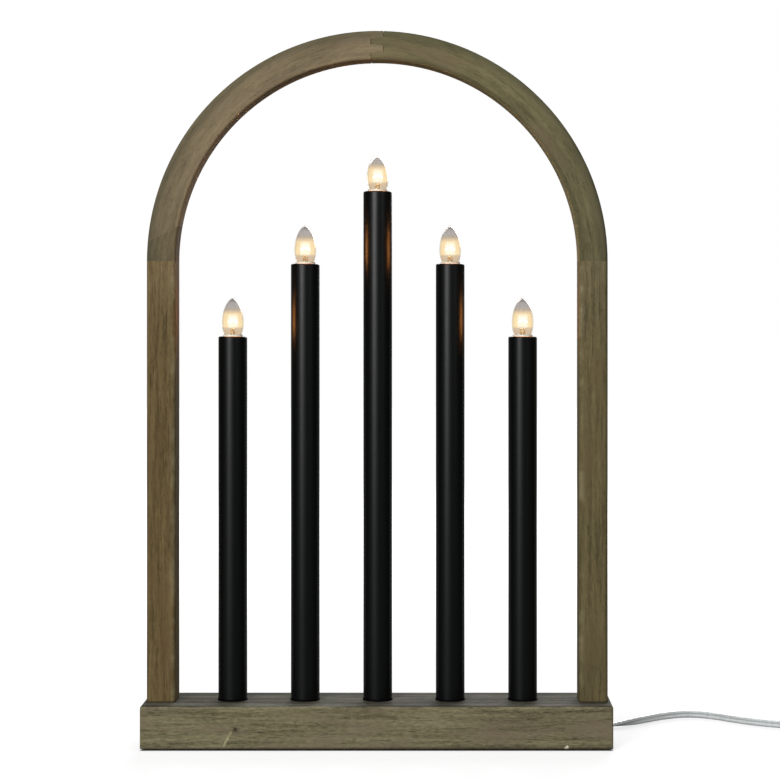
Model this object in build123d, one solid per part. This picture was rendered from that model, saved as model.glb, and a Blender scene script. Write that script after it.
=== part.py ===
from build123d import *
import math
import os

# A candle arch: a wooden base, two legs and a half-round arch over five electric candles.
# Millimetres. X runs along the base, the front faces -Y, Z is up from the floor.

# Base block, its pads and the wiring channel under it
base_depth = 55.0
base_height = 29.0
base_overhang = 2.5
base_edge_round = 1.5
pad_diameter = 12.0
pad_height = 1.0
pad_edge_gap = 3.0
cover_thickness = 3.0
cover_rim = 5.5
cover_leg_gap = 5.0
channel_width = 18.0
channel_depth = 13.0
channel_end_room = 5.0
pocket_depth = 10.0

# Legs and arch
rail_width = 20.0
rail_depth = 25.0
rail_edge_round = 3.0
leg_gap = 28.5
arch_headroom = 63.7
finger_count = 4
finger_length = 9.2
finger_taper = 0.5
finger_tip_gap = 0.35
heel_outer_height = 12.5
heel_inner_height = 23.2

# Dowels and screws
arch_dowel_diameter = 6.0
arch_dowel_reach = 24.0
arch_dowel_inset = 6.5
leg_dowel_diameter = 5.0
leg_dowel_reach = 14.0
leg_dowel_inset = 4.5
leg_screw_head = 8.5
leg_screw_shank = 4.5
leg_screw_length = 54.0
leg_screw_sink = 10.0
cover_screw_head = 5.5
cover_screw_shank = 2.8
cover_screw_length = 14.0
cover_screw_inset = 8.0
grip_screw_head = 5.0
grip_screw_shank = 2.5
grip_screw_length = 16.0
dowel_chamfer_share = 0.125
screw_point = 1.2
cross_depth_share = 0.55
cross_slot = 0.9

# Candles
candle_count = 5
candle_spacing = 50.5
candle_rise = 50.5
outer_tube_length = 251.5
tube_diameter = 20.0
tube_wall = 1.4
tube_lip = 2.0
tube_round = 1.2
foot_flange_margin = 0.3
foot_flange = 1.5
foot_spigot = 14.0
foot_wall = 2.0
foot_wire_gap = 0.425
foot_neck_wall = 1.5

# Lamp holders, heights measured from the top of the tube
collar_diameter = 13.8
collar_wall = 0.6
collar_height = 1.2
mouth_depth = 3.0
shell_diameter = 10.7
shell_wall = 0.35
shell_height = 11.6
contact_diameter = 5.0
contact_thickness = 0.6
contact_pin = 1.6
tab_width = 2.0
holder_floor = 5.0
wire_socket = 5.0

# Bulbs, heights measured from the top of the tube
bulb_diameter = 15.0
bulb_tip_height = 26.8
bulb_widest_height = 9.5
bulb_shoulder_drop = 0.8
bulb_fullness = 0.54
glass_wall = 0.6
neck_diameter = 7.7
neck_seat = 3.0
cap_top_drop = 4.0
cap_length = 9.0
cap_diameter = 8.6
thread_diameter = 9.5
thread_pitch = 1.814
thread_turns = 4.0
insulator_height = 1.6
insulator_foot = 3.8
tip_diameter = 3.2
tip_height = 1.25
tip_contact_gap = 0.15
stem_diameter = 3.8
stem_top = 5.3
stem_round = 0.5
filament_wire = 0.6
filament_spread = 3.0
filament_foot = 1.2
filament_side_height = 9.6
filament_crown_height = 11.4
filament_bend = 0.8

# Wiring and lead
wire_diameter = 1.8
wire_bend = 4.0
splice_diameter = 4.5
splice_length = 9.0
splice_wall_gap = 1.2
cord_width = 5.4
cord_thickness = 2.7
cord_core_pitch = 2.7
bush_flange_diameter = 14.0
bush_flange = 2.0
bush_neck_diameter = 9.0
grip_length = 20.0
grip_thickness = 7.0
grip_under = 4.5
grip_round = 1.0
lead_arc_share = 0.45
lead_last_run = 20.0

# Coil of the put-away length and the plug on its end
coil_centre = (348.0, 61.0)
coil_mean_radius = 30.0
coil_turn_pitch = 6.0
coil_layer_pitch = 6.0
coil_start_angle = -123.0
coil_whole_turns = 6
coil_steps = 26
coil_end_angle = -90.0
coil_tail = 30.0
plug_boot = 15.0
plug_boot_rear = 7.0
plug_boot_front = 10.5
plug_body = 36.0
plug_shoulder = 13.0
plug_width = 26.0
plug_thickness = 13.8
plug_edge_round = 2.5
pin_spacing = 18.6
pin_diameter = 4.0
pin_length = 19.0

# Clearances
fit_gap = 0.1
slide_gap = 0.2
cut_past = 1.0

# Levels and places that follow
base_bottom = pad_height
base_top = base_bottom + base_height
channel_floor = base_bottom + cover_thickness
channel_roof = channel_floor + channel_depth
wire_level = channel_floor + channel_depth / 2
half_count = (candle_count - 1) / 2
outer_candle = half_count * candle_spacing
leg_inner = outer_candle + tube_diameter / 2 + leg_gap
arch_outer_radius = leg_inner + rail_width
rail_middle = leg_inner + rail_width / 2
base_length = 2 * (arch_outer_radius + base_overhang)
tube_foot = base_top + foot_flange
tallest_tube_top = tube_foot + outer_tube_length + half_count * candle_rise
springing = tallest_tube_top + bulb_tip_height + arch_headroom - leg_inner
tube_bore = tube_diameter - 2 * tube_wall
cover_length = 2 * (leg_inner - cover_leg_gap)
cover_width = base_depth - 2 * cover_rim
lip_hole = collar_diameter + 2 * slide_gap
holder_diameter = tube_bore - 2 * fit_gap
shell_bore = shell_diameter + 2 * fit_gap
neck_bottom = -cap_top_drop - neck_seat
cap_bottom = -cap_top_drop - cap_length
tip_bottom = cap_bottom - insulator_height - tip_height
contact_top = tip_bottom - tip_contact_gap
holder_bore_floor = contact_top - contact_thickness
wire_end = holder_bore_floor - holder_floor
holder_bottom = wire_end - wire_socket
shell_tab_offset = shell_diameter / 2 - shell_wall / 2
spigot_diameter = tube_bore - 2 * fit_gap
foot_bore = spigot_diameter - 2 * foot_wall
wire_offset = foot_bore / 2 - foot_wire_gap - wire_diameter / 2
foot_neck = foot_bore + 2 * foot_neck_wall
channel_length = 2 * (outer_candle + wire_offset + wire_diameter / 2 + channel_end_room)
cord_exit_x = outer_candle - candle_spacing / 2
cord_exit_y = base_depth / 2 + bush_flange
pocket_end = channel_width / 2 + pocket_depth
pocket_length = grip_length + 2 * slide_gap
splice_line = channel_width / 2 - splice_diameter / 2 - splice_wall_gap
splice_near = cord_core_pitch / 2 + wire_bend
sheath_end = splice_line + wire_bend
cord_radius = cord_width / 2
plug_axis = plug_thickness / 2
leg_dowel_y = rail_depth / 2 - leg_dowel_inset
arch_dowel_y = rail_depth / 2 - arch_dowel_inset
ON_FLOOR = (Align.CENTER, Align.CENTER, Align.MIN)


def candle_x(number):
    return (number - half_count) * candle_spacing


def tube_top(number):
    return tube_foot + outer_tube_length + (half_count - abs(number - half_count)) * candle_rise


def rod(diameter, low, high):
    return Pos(0, 0, low) * Cylinder(diameter / 2, high - low, align=ON_FLOOR)


def bar(length, depth, low, high):
    return Pos(0, 0, low) * Box(length, depth, high - low, align=ON_FLOOR)


def turned(points):
    profile = Polyline(*[(radius, 0, height) for radius, height in points], close=True)
    return revolve(make_face(profile), Axis.Z)


def front_plate(points):
    outline = Polyline(*[(x, 0, z) for x, z in points], close=True)
    return extrude(make_face(outline), amount=base_depth, dir=(0, 1, 0), both=True)


def round_tube(path, diameter):
    start = Plane(origin=path @ 0, z_dir=path % 0)
    return sweep(start * Circle(diameter / 2), path=path)


def group(solids):
    return Compound(children=list(solids))


def write(shape, node):
    export_step(shape, f"parts/{node}.step")


# Screws and dowels, with the same shapes a little larger as their holes
def screw_blank(head, shank, length, gap=0.0):
    cone = (head - shank) / 2
    outline = [
        (0, -gap),
        (head / 2 + gap, -gap),
        (head / 2 + gap, 0),
        (shank / 2 + gap, cone),
        (shank / 2 + gap, length - screw_point * shank),
        (gap, length + gap),
        (0, length + gap),
    ]
    return turned(outline if gap else [outline[0], *outline[2:6]])


def cross_screw(head, shank, length):
    depth = cross_depth_share * (head - shank) / 2
    blank = screw_blank(head, shank, length)
    for angle in (0, 90):
        blank -= Rot(0, 0, angle) * bar(head * cross_depth_share, cross_slot, -cut_past, depth)
    return blank


def screw_hole(head, shank, length, sink):
    return screw_blank(head, shank, length, fit_gap) + rod(head + 2 * fit_gap, -sink - cut_past, 0)


def corner_places(x, y, z):
    return [Pos(side * x, end * y, z) for side in (-1, 1) for end in (-1, 1)]


leg_screw_places = [Pos(side * rail_middle, 0, base_bottom + leg_screw_sink) for side in (-1, 1)]
leg_dowel_places = corner_places(rail_middle, leg_dowel_y, base_top)
arch_dowel_places = corner_places(rail_middle, arch_dowel_y, springing)
cover_screw_x = cover_length / 2 - cover_screw_inset
cover_screw_y = cover_width / 2 - cover_screw_inset
cover_screw_places = [
    Pos(x, y, base_bottom)
    for x in (-cover_screw_x, 0, cover_screw_x)
    for y in (-cover_screw_y, cover_screw_y)
]
grip_middle = pocket_end - slide_gap - grip_thickness / 2
grip_low = wire_level - grip_under
grip_screw_x = (grip_length / 2 + cord_width / 2) / 2
grip_screw_places = [Pos(cord_exit_x + side * grip_screw_x, grip_middle, grip_low) for side in (-1, 1)]

leg_screw_hole = screw_hole(leg_screw_head, leg_screw_shank, leg_screw_length, leg_screw_sink)
leg_screw_holes = [place * leg_screw_hole for place in leg_screw_places]
cover_screw_hole = screw_hole(cover_screw_head, cover_screw_shank, cover_screw_length, 0)
cover_screw_holes = [place * cover_screw_hole for place in cover_screw_places]
grip_screw_hole = screw_hole(grip_screw_head, grip_screw_shank, grip_screw_length, 0)
grip_screw_holes = [place * grip_screw_hole for place in grip_screw_places]


def dowel(diameter, reach):
    pin = rod(diameter, -reach, reach)
    return chamfer(pin.edges().filter_by(GeomType.CIRCLE), dowel_chamfer_share * diameter)


def dowel_hole(diameter, reach):
    return rod(diameter + 2 * fit_gap, -reach - slide_gap, reach + slide_gap)


leg_dowel_holes = [place * dowel_hole(leg_dowel_diameter, leg_dowel_reach) for place in leg_dowel_places]
arch_dowel_holes = [place * dowel_hole(arch_dowel_diameter, arch_dowel_reach) for place in arch_dowel_places]


# Wooden base with its cover, pads and wiring channel
def flat_slot(clearance):
    return SlotOverall(cord_width + 2 * clearance, cord_thickness + 2 * clearance)


def along_y(face, low_y, high_y):
    start = Plane(origin=(cord_exit_x, low_y, wire_level), x_dir=(1, 0, 0), z_dir=(0, 1, 0))
    return extrude(start * face, amount=high_y - low_y)


def cord_passage(low_y, high_y, clearance):
    return along_y(flat_slot(clearance), low_y, high_y)


def base_block():
    block = bar(base_length, base_depth, base_bottom, base_top)
    eased = block.edges().filter_by(Axis.Z) + block.faces().sort_by(Axis.Z)[-1].edges()
    block = fillet(eased, base_edge_round)
    cover_room = (cover_length + 2 * slide_gap, cover_width + 2 * slide_gap)
    block -= bar(*cover_room, base_bottom - cut_past, channel_floor)
    block -= bar(channel_length, channel_width, channel_floor - cut_past, channel_roof)
    pocket = bar(pocket_length, pocket_end, channel_floor - cut_past, channel_roof)
    block -= Pos(cord_exit_x, pocket_end / 2, 0) * pocket
    block -= along_y(Circle(bush_neck_diameter / 2 + fit_gap), pocket_end - cut_past, base_depth)
    foot_hole = rod(foot_neck + 2 * fit_gap, channel_roof - cut_past, base_top + cut_past)
    for number in range(candle_count):
        block -= Pos(candle_x(number), 0, 0) * foot_hole
    for hole in leg_screw_holes + leg_dowel_holes + cover_screw_holes + grip_screw_holes:
        block -= hole
    return block


def base_cover():
    cover = bar(cover_length, cover_width, base_bottom, channel_floor)
    for hole in cover_screw_holes:
        cover -= hole
    return cover


def felt_pads():
    pad_x = base_length / 2 - pad_edge_gap - pad_diameter / 2
    pad_y = base_depth / 2 - pad_edge_gap - pad_diameter / 2
    return [place * rod(pad_diameter, 0, pad_height) for place in corner_places(pad_x, pad_y, 0)]


# Legs and arch
def leg(side):
    post = bar(rail_width, rail_depth, base_top, springing)
    post = Pos(side * rail_middle, 0, 0) * fillet(post.edges().filter_by(Axis.Z), rail_edge_round)
    for hole in leg_screw_holes + leg_dowel_holes + arch_dowel_holes:
        post -= hole
    return post


def finger_line(short_left, short_right):
    step = rail_width / finger_count
    reach = finger_length / 2
    left, right = -reach + short_left, reach - short_right
    slope = finger_taper / reach
    line = []
    for number in range(1, finger_count):
        level = springing + arch_outer_radius - number * step
        turn = 1 if number % 2 else -1
        first, last = (right, left) if number % 2 else (left, right)
        line += [(first, level + turn * slope * first), (last, level + turn * slope * last)]
    return [(line[0][0], springing + 2 * arch_outer_radius), *line, (line[-1][0], springing - cut_past)]


def arch_piece(side, line):
    section = Pos(rail_middle, 0, springing) * RectangleRounded(rail_width, rail_depth, rail_edge_round)
    ring = revolve(section, Axis((0, 0, springing), (0, -1, 0)), 180)
    far = side * 2 * arch_outer_radius
    half = front_plate([*line, (far, springing - cut_past), (far, springing + 2 * arch_outer_radius)])
    piece = ring & half
    for hole in arch_dowel_holes:
        piece -= hole
    return piece


def heel_zone():
    rise = (heel_inner_height - heel_outer_height) / rail_width
    outer = -arch_outer_radius - rail_width
    inner = -leg_inner + rail_width
    low = springing - cut_past
    return front_plate([
        (outer, low),
        (inner, low),
        (inner, springing + heel_inner_height + rise * rail_width),
        (outer, springing + heel_outer_height - rise * rail_width),
    ])


# One candle: foot, sleeve and lamp holder
def candle_foot():
    flange = rod(tube_diameter + 2 * foot_flange_margin, base_top, tube_foot)
    flange = fillet(flange.faces().sort_by(Axis.Z)[-1].edges(), foot_flange_margin - fit_gap)
    foot = flange + rod(spigot_diameter, tube_foot, tube_foot + foot_spigot)
    foot += rod(foot_neck, channel_roof, base_top)
    return foot - rod(foot_bore, channel_roof - cut_past, tube_foot + foot_spigot + cut_past)


def candle_tube(number):
    top = tube_top(number)
    sleeve = rod(tube_diameter, tube_foot, top)
    sleeve = fillet(sleeve.faces().sort_by(Axis.Z)[-1].edges(), tube_round)
    sleeve -= rod(tube_bore, tube_foot - cut_past, top - tube_lip)
    return sleeve - rod(lip_hole, top - tube_lip - cut_past, top + cut_past)


def shell_tab(high, gap):
    reach = abs(wire_offset - shell_tab_offset)
    tab = bar(reach + shell_wall + 2 * gap, tab_width + 2 * gap, wire_end, high)
    return Pos((wire_offset + shell_tab_offset) / 2, 0, 0) * tab


def lamp_holder():
    holder = rod(holder_diameter, holder_bottom, -tube_lip) + rod(collar_diameter, -tube_lip, collar_height)
    holder -= rod(collar_diameter - 2 * collar_wall, -mouth_depth, collar_height + cut_past)
    holder -= rod(shell_bore, holder_bore_floor, -mouth_depth + cut_past)
    holder -= rod(contact_pin + 2 * fit_gap, wire_end, holder_bore_floor + cut_past)
    holder -= shell_tab(holder_bore_floor + cut_past, fit_gap)
    for x in (0, wire_offset):
        holder -= Pos(x, 0, 0) * rod(wire_diameter + 2 * slide_gap, holder_bottom - cut_past, wire_end)
    return holder


def screw_shell():
    top = holder_bore_floor + shell_height
    shell = rod(shell_diameter, holder_bore_floor, top)
    shell -= rod(shell_diameter - 2 * shell_wall, holder_bore_floor - cut_past, top + cut_past)
    return shell + shell_tab(contact_top, 0)


def centre_contact():
    disc = rod(contact_diameter, holder_bore_floor, contact_top)
    return disc + rod(contact_pin, wire_end, holder_bore_floor)


# One bulb: glass, filament on its stem, threaded cap and contact
def quarter_round(start, corner, finish):
    first, turn, last = Vector(start), Vector(corner), Vector(finish)
    return Bezier(first, first + (turn - first) * bulb_fullness, last + (turn - last) * bulb_fullness, last)


def bulb_form(wall, bottom):
    neck = neck_diameter / 2 - wall
    widest = bulb_diameter / 2 - wall
    tip = bulb_tip_height - wall
    shoulder = -bulb_shoulder_drop
    outline = [
        Line((0, bottom), (neck, bottom)),
        Line((neck, bottom), (neck, shoulder)),
        quarter_round((neck, shoulder), (widest, shoulder), (widest, bulb_widest_height)),
        quarter_round((widest, bulb_widest_height), (widest, tip), (0, tip)),
        Line((0, tip), (0, bottom)),
    ]
    return revolve(Plane.XZ * make_face(outline), Axis.Z)


def bulb_glass():
    return bulb_form(0, neck_bottom) - bulb_form(glass_wall, neck_bottom - cut_past)


def bulb_filament():
    stem = rod(stem_diameter, neck_bottom, stem_top)
    stem = fillet(stem.edges().sort_by(Axis.Z)[-1], stem_round)
    lead = stem_top + 2 * filament_wire
    side = [(filament_foot, stem_top), (filament_foot, lead), (filament_spread, filament_side_height)]
    points = [(-x, 0, z) for x, z in side]
    points.append((0, 0, filament_crown_height))
    points += [(x, 0, z) for x, z in side[::-1]]
    return [stem, round_tube(FilletPolyline(*points, radius=filament_bend), filament_wire)]


def bulb_cap():
    cap = rod(cap_diameter, cap_bottom, -cap_top_drop)
    height = thread_turns * thread_pitch
    start = (cap_bottom - cap_top_drop - height) / 2
    ridge_path = Pos(0, 0, start) * Helix(thread_pitch, height, cap_diameter / 2)
    ridge_plane = Plane(origin=ridge_path @ 0, z_dir=ridge_path % 0)
    ridge = sweep(ridge_plane * Circle((thread_diameter - cap_diameter) / 2), path=ridge_path, is_frenet=True)
    return cap + ridge - rod(neck_diameter + 2 * fit_gap, neck_bottom, -cap_top_drop + cut_past)


def bulb_contact():
    low = cap_bottom - insulator_height
    return turned([
        (0, tip_bottom),
        (tip_diameter / 2, tip_bottom),
        (tip_diameter / 2, low),
        (insulator_foot / 2, low),
        (cap_diameter / 2 - fit_gap, cap_bottom),
        (0, cap_bottom),
    ])


# Wires: in series from holder to holder, and from the outer holders to the lead's two cores
def wire(points, bend=wire_bend):
    return round_tube(FilletPolyline(*points, radius=bend), wire_diameter)


def series_wires():
    wires = []
    for number in range(candle_count - 1):
        left, right = candle_x(number) + wire_offset, candle_x(number + 1)
        wires.append(wire([
            (left, 0, tube_top(number) + wire_end),
            (left, 0, wire_level),
            (right, 0, wire_level),
            (right, 0, tube_top(number + 1) + wire_end),
        ]))
    end_top = tube_top(0) + wire_end
    aside = splice_line + wire_diameter
    for side, end in ((-1, -outer_candle), (1, outer_candle + wire_offset)):
        crimp = cord_exit_x + side * (splice_near + splice_length)
        wires.append(wire([
            (crimp, splice_line, wire_level),
            (end - side * aside, splice_line, wire_level),
            (end, 0, wire_level),
            (end, 0, end_top),
        ], wire_bend / 2))
        core = cord_exit_x + side * cord_core_pitch / 2
        wires.append(wire([
            (core, sheath_end, wire_level),
            (core, splice_line, wire_level),
            (cord_exit_x + side * splice_near, splice_line, wire_level),
        ], wire_bend - slide_gap))
    return wires


def splice_sleeves():
    sleeves = []
    for side in (-1, 1):
        middle = cord_exit_x + side * (splice_near + splice_length / 2)
        sleeve = Rot(0, 90, 0) * rod(splice_diameter, -splice_length / 2, splice_length / 2)
        sleeve = fillet(sleeve.edges().filter_by(GeomType.CIRCLE), fit_gap)
        sleeves.append(Pos(middle, splice_line, wire_level) * sleeve)
    return sleeves


def cord_grip():
    block = bar(grip_length, grip_thickness, grip_low, channel_roof)
    block = Pos(cord_exit_x, grip_middle, 0) * fillet(block.edges().filter_by(Axis.Z), grip_round)
    block -= cord_passage(0, base_depth, slide_gap)
    for hole in grip_screw_holes:
        block -= hole
    return block


def cord_bush():
    flange = along_y(Circle(bush_flange_diameter / 2), base_depth / 2, cord_exit_y)
    flange = fillet(flange.faces().sort_by(Axis.Y)[-1].edges(), bush_flange / 2)
    bush = flange + along_y(Circle(bush_neck_diameter / 2), pocket_end, base_depth / 2)
    return bush - cord_passage(0, base_depth, slide_gap)


# The lead on the floor: its route is chosen by hand and ends where the coil begins
coil_angle = 360.0 * coil_whole_turns + coil_end_angle - coil_start_angle
coil_growth = coil_turn_pitch / (2 * math.pi)
coil_half = math.radians(coil_angle) / 2
coil_inner = coil_mean_radius - coil_growth * coil_half / 2


def coil_point(turned_by):
    along = turned_by - coil_half
    reach, climb = abs(along), math.copysign(1.0, along)
    if reach < math.pi / 2:
        reach, climb = along * along / math.pi + math.pi / 4, math.sin(along)
    radius = coil_inner + coil_growth * reach
    angle = math.radians(coil_start_angle) + turned_by
    height = cord_radius + coil_layer_pitch * (1 + climb) / 2
    return Vector(
        coil_centre[0] + radius * math.cos(angle),
        coil_centre[1] + radius * math.sin(angle),
        height,
    )


def coil_heading(turned_by):
    step = 1e-4
    return (coil_point(turned_by + step) - coil_point(turned_by - step)).normalized()


coil_start = coil_point(0.0)
coil_in = coil_heading(0.0)
lead_end = coil_start - coil_in * cord_width
lead_route = [
    (cord_exit_x, cord_exit_y, wire_level),
    (cord_exit_x, 41.0, wire_level),
    (84.0, 53.5, 7.0),
    (99.5, 60.5, 3.8),
    (118.0, 57.5, cord_radius),
    (135.0, 49.5, cord_radius),
    (152.5, 46.0, cord_radius),
    (169.0, 51.5, cord_radius),
    (190.0, 66.5, cord_radius),
    (208.0, 83.5, cord_radius),
    (227.0, 92.5, cord_radius),
    (245.0, 84.5, cord_radius),
    (259.0, 70.0, cord_radius),
    (274.0, 58.0, cord_radius),
    (289.5, 50.5, cord_radius),
    tuple(lead_end - coil_in * lead_last_run),
    tuple(lead_end),
]


def route_radii(points):
    radii = []
    for before, here, after in zip(points, points[1:], points[2:]):
        arriving, leaving = Vector(here) - Vector(before), Vector(after) - Vector(here)
        turn = math.radians(arriving.get_angle(leaving))
        radii.append(lead_arc_share * min(arriving.length, leaving.length) / math.tan(turn / 2))
    return radii


def cord_lead():
    radii = route_radii(lead_route)
    path = FilletPolyline(*lead_route, radius=radii)
    tube = round_tube(path, cord_width)
    print("lead radii", [round(radius, 1) for radius in radii])
    report_length("lead", path, tube)
    return tube


def report_length(name, path, tube):
    expected = math.pi * cord_radius ** 2 * path.length
    print(name, "length", round(path.length, 1), "volume share", round(tube.volume / expected, 4))


# The coil: quarter turns of a spiral in and out again, in two layers
def biarc(start, heading, finish, arrival):
    across, both = finish - start, heading + arrival
    spread = 2 * (1 - heading.dot(arrival))
    lean = across.dot(both)
    reach = (math.sqrt(lean * lean + spread * across.dot(across)) - lean) / spread
    middle = (start + finish) * 0.5 + (heading - arrival) * (reach / 2)
    through = (finish - arrival * reach) - (start + heading * reach)
    return [
        TangentArc(start, middle, tangent=heading),
        TangentArc(middle, finish, tangent=through.normalized()),
    ]


coil_out = coil_point(math.radians(coil_angle))
plug_entry = Vector(coil_out.X + coil_tail + cord_width, coil_out.Y + coil_growth, plug_axis)


def cord_coil():
    angles = [math.radians(coil_angle) * step / coil_steps for step in range(coil_steps + 1)]
    edges = [Line(lead_end, coil_start)]
    for first, last in zip(angles, angles[1:]):
        edges += biarc(coil_point(first), coil_heading(first), coil_point(last), coil_heading(last))
    tail_end = plug_entry - Vector(cord_width, 0, 0)
    edges += biarc(coil_out, coil_heading(angles[-1]), tail_end, Vector(1, 0, 0))
    edges.append(Line(tail_end, plug_entry))
    path = Wire(edges)
    tube = round_tube(path, cord_width)
    report_length("coil", path, tube)
    print("coil least gap to itself", round(least_gap(path), 2))
    return tube


def least_gap(path):
    spacing = cord_width / 3
    count = round(path.length / spacing)
    points = [path @ (number / count) for number in range(count + 1)]
    apart = round(math.pi * cord_width / spacing)
    pairs = ((a, b) for i, a in enumerate(points) for b in points[i + apart:])
    return min((a - b).length for a, b in pairs) - cord_width


# Plug at the coil's end, pins pointing along +X
def plug_shape():
    rear, front = plug_boot, plug_boot + plug_body
    shoulder = rear + plug_shoulder
    half_rear, half = plug_boot_front / 2, plug_width / 2
    outline = Polyline(
        (rear, -half_rear),
        (shoulder, -half),
        (front, -half),
        (front, half),
        (shoulder, half),
        (rear, half_rear),
        close=True,
    )
    body = Pos(0, 0, -plug_axis) * extrude(make_face(outline), amount=plug_thickness)
    body = fillet(body.edges().filter_by(Axis.Z), plug_edge_round)
    body = fillet(body.faces().filter_by(Axis.Z).edges(), plug_edge_round)
    boot = Rot(0, 90, 0) * Cone(plug_boot_rear / 2, plug_boot_front / 2, plug_boot, align=ON_FLOOR)
    return Pos(*plug_entry) * (body + boot + Rot(0, 90, 0) * rod(plug_boot_front, plug_boot, shoulder))


def plug_pins():
    front = plug_boot + plug_body
    pin = rod(pin_diameter, 0, pin_length)
    pin = fillet(pin.edges().sort_by(Axis.Z)[-1], pin_diameter / 2 - fit_gap)
    lying = Pos(*plug_entry) * Pos(front, 0, 0) * Rot(0, 90, 0) * pin
    return [Pos(0, side * pin_spacing / 2, 0) * lying for side in (-1, 1)]


# Every node is written to its own file
os.makedirs("parts", exist_ok=True)

write(base_block(), "base_block")
write(base_cover(), "base_cover")
write(group(felt_pads()), "felt_pads")
write(leg(-1), "left_leg")
write(leg(1), "right_leg")
arch_left = arch_piece(-1, finger_line(0, finger_tip_gap))
write(arch_left - heel_zone(), "arch_left")
write(arch_left & heel_zone(), "arch_left_heel")
write(arch_piece(1, finger_line(finger_tip_gap, 0)), "arch_right")
leg_screw = cross_screw(leg_screw_head, leg_screw_shank, leg_screw_length)
cover_screw = cross_screw(cover_screw_head, cover_screw_shank, cover_screw_length)
grip_screw = cross_screw(grip_screw_head, grip_screw_shank, grip_screw_length)
leg_dowel = dowel(leg_dowel_diameter, leg_dowel_reach)
arch_dowel = dowel(arch_dowel_diameter, arch_dowel_reach)
write(group(place * leg_screw for place in leg_screw_places), "leg_screws")
write(group(place * cover_screw for place in cover_screw_places), "cover_screws")
write(group(place * grip_screw for place in grip_screw_places), "grip_screws")
write(group(place * leg_dowel for place in leg_dowel_places), "leg_dowels")
write(group(place * arch_dowel for place in arch_dowel_places), "arch_dowels")

foot, holder, glass, cap, contact = candle_foot(), lamp_holder(), bulb_glass(), bulb_cap(), bulb_contact()
filament = bulb_filament()
tops = [Pos(candle_x(number), 0, tube_top(number)) for number in range(candle_count)]
for number, top in enumerate(tops):
    label = number + 1
    upright = Pos(candle_x(number), 0, 0)
    write(upright * foot, f"candle_foot_{label}")
    write(upright * candle_tube(number), f"candle_tube_{label}")
    write(top * holder, f"lamp_holder_{label}")
    write(top * glass, f"bulb_{label}_glass")
    write(top * cap, f"bulb_{label}_cap")
    write(top * contact, f"bulb_{label}_contact")
    write(group(top * solid for solid in filament), f"bulb_{label}_filament")
shell, pressed_contact = screw_shell(), centre_contact()
write(group(top * shell for top in tops), "screw_shells")
write(group(top * pressed_contact for top in tops), "centre_contacts")

write(group(series_wires()), "series_wires")
write(group(splice_sleeves()), "splice_sleeves")
write(cord_passage(sheath_end, cord_exit_y, 0), "inner_cord")
write(cord_grip(), "cord_grip")
write(cord_bush(), "cord_bush")
write(cord_lead(), "cord_lead")
write(cord_coil(), "cord_coil")
write(plug_shape(), "plug_body")
write(group(plug_pins()), "plug_pins")
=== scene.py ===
# %% [markdown]
# # A candle arch for the window sill
# A stained pine base carries two legs and a half-round arch. Under the arch stand five black candle
# tubes, each with a small screw bulb that is lit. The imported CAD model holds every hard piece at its
# real size, so this lesson keeps those solids and gives them their finish. What a solid can't show,
# such as the flat see-through lead, the blown glass and the coiled filaments, is made here in mesh code.

# %% Load the frame
import math

import bpy
from mathutils import Matrix, Vector


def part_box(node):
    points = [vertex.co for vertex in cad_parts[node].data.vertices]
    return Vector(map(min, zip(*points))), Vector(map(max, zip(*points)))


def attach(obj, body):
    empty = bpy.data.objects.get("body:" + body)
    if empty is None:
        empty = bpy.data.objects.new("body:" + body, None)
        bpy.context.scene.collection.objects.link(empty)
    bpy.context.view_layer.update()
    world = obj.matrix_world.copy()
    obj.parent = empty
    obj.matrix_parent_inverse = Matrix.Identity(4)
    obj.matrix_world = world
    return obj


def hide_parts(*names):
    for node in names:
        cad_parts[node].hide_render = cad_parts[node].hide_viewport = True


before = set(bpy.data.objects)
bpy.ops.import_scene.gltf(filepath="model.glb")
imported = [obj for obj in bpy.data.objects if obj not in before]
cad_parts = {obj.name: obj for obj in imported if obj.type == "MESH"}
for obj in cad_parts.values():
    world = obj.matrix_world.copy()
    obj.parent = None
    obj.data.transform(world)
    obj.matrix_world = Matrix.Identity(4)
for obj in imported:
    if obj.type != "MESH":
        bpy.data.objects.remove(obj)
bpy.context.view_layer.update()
scene = bpy.context.scene
scene.view_settings.view_transform = "Standard"
mm = 0.001

# %% [markdown]
# ## Camera
# The photograph looks straight along +Y. Its lines meet to the right of the middle and above it, so the
# picture is a cut-out of a wider one: a level camera with a little shift gives the same view, and keeps
# the legs upright as they are in the picture.

# %% Camera
photo_pixels = 780
focal_pixels = 2048.0
vanishing_pixel = (440.0, 328.0)
camera_place = Vector((43.4, -1427.5, 288.8)) * mm

camera_data = bpy.data.cameras.new("photo_camera")
camera_data.sensor_width = 36.0
camera_data.lens = focal_pixels / photo_pixels * camera_data.sensor_width
camera_data.shift_x = (photo_pixels / 2 - vanishing_pixel[0]) / photo_pixels
camera_data.shift_y = (vanishing_pixel[1] - photo_pixels / 2) / photo_pixels
camera = bpy.data.objects.new("photo_camera", camera_data)
camera.location = camera_place
camera.rotation_euler = (math.radians(90), 0, 0)
scene.collection.objects.link(camera)
scene.camera = camera
print("lens", round(camera_data.lens, 1), "mm")

# %% [markdown]
# ## The lead's route
# The lead is a flat two-core cord. It leaves the base at the back, lies flat on the floor, takes a
# quarter twist where it comes into view and goes on standing on its edge. The rest of its length is
# wound up beside the object. One NURBS line follows the whole route; the coil adds its own points to it.

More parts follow.
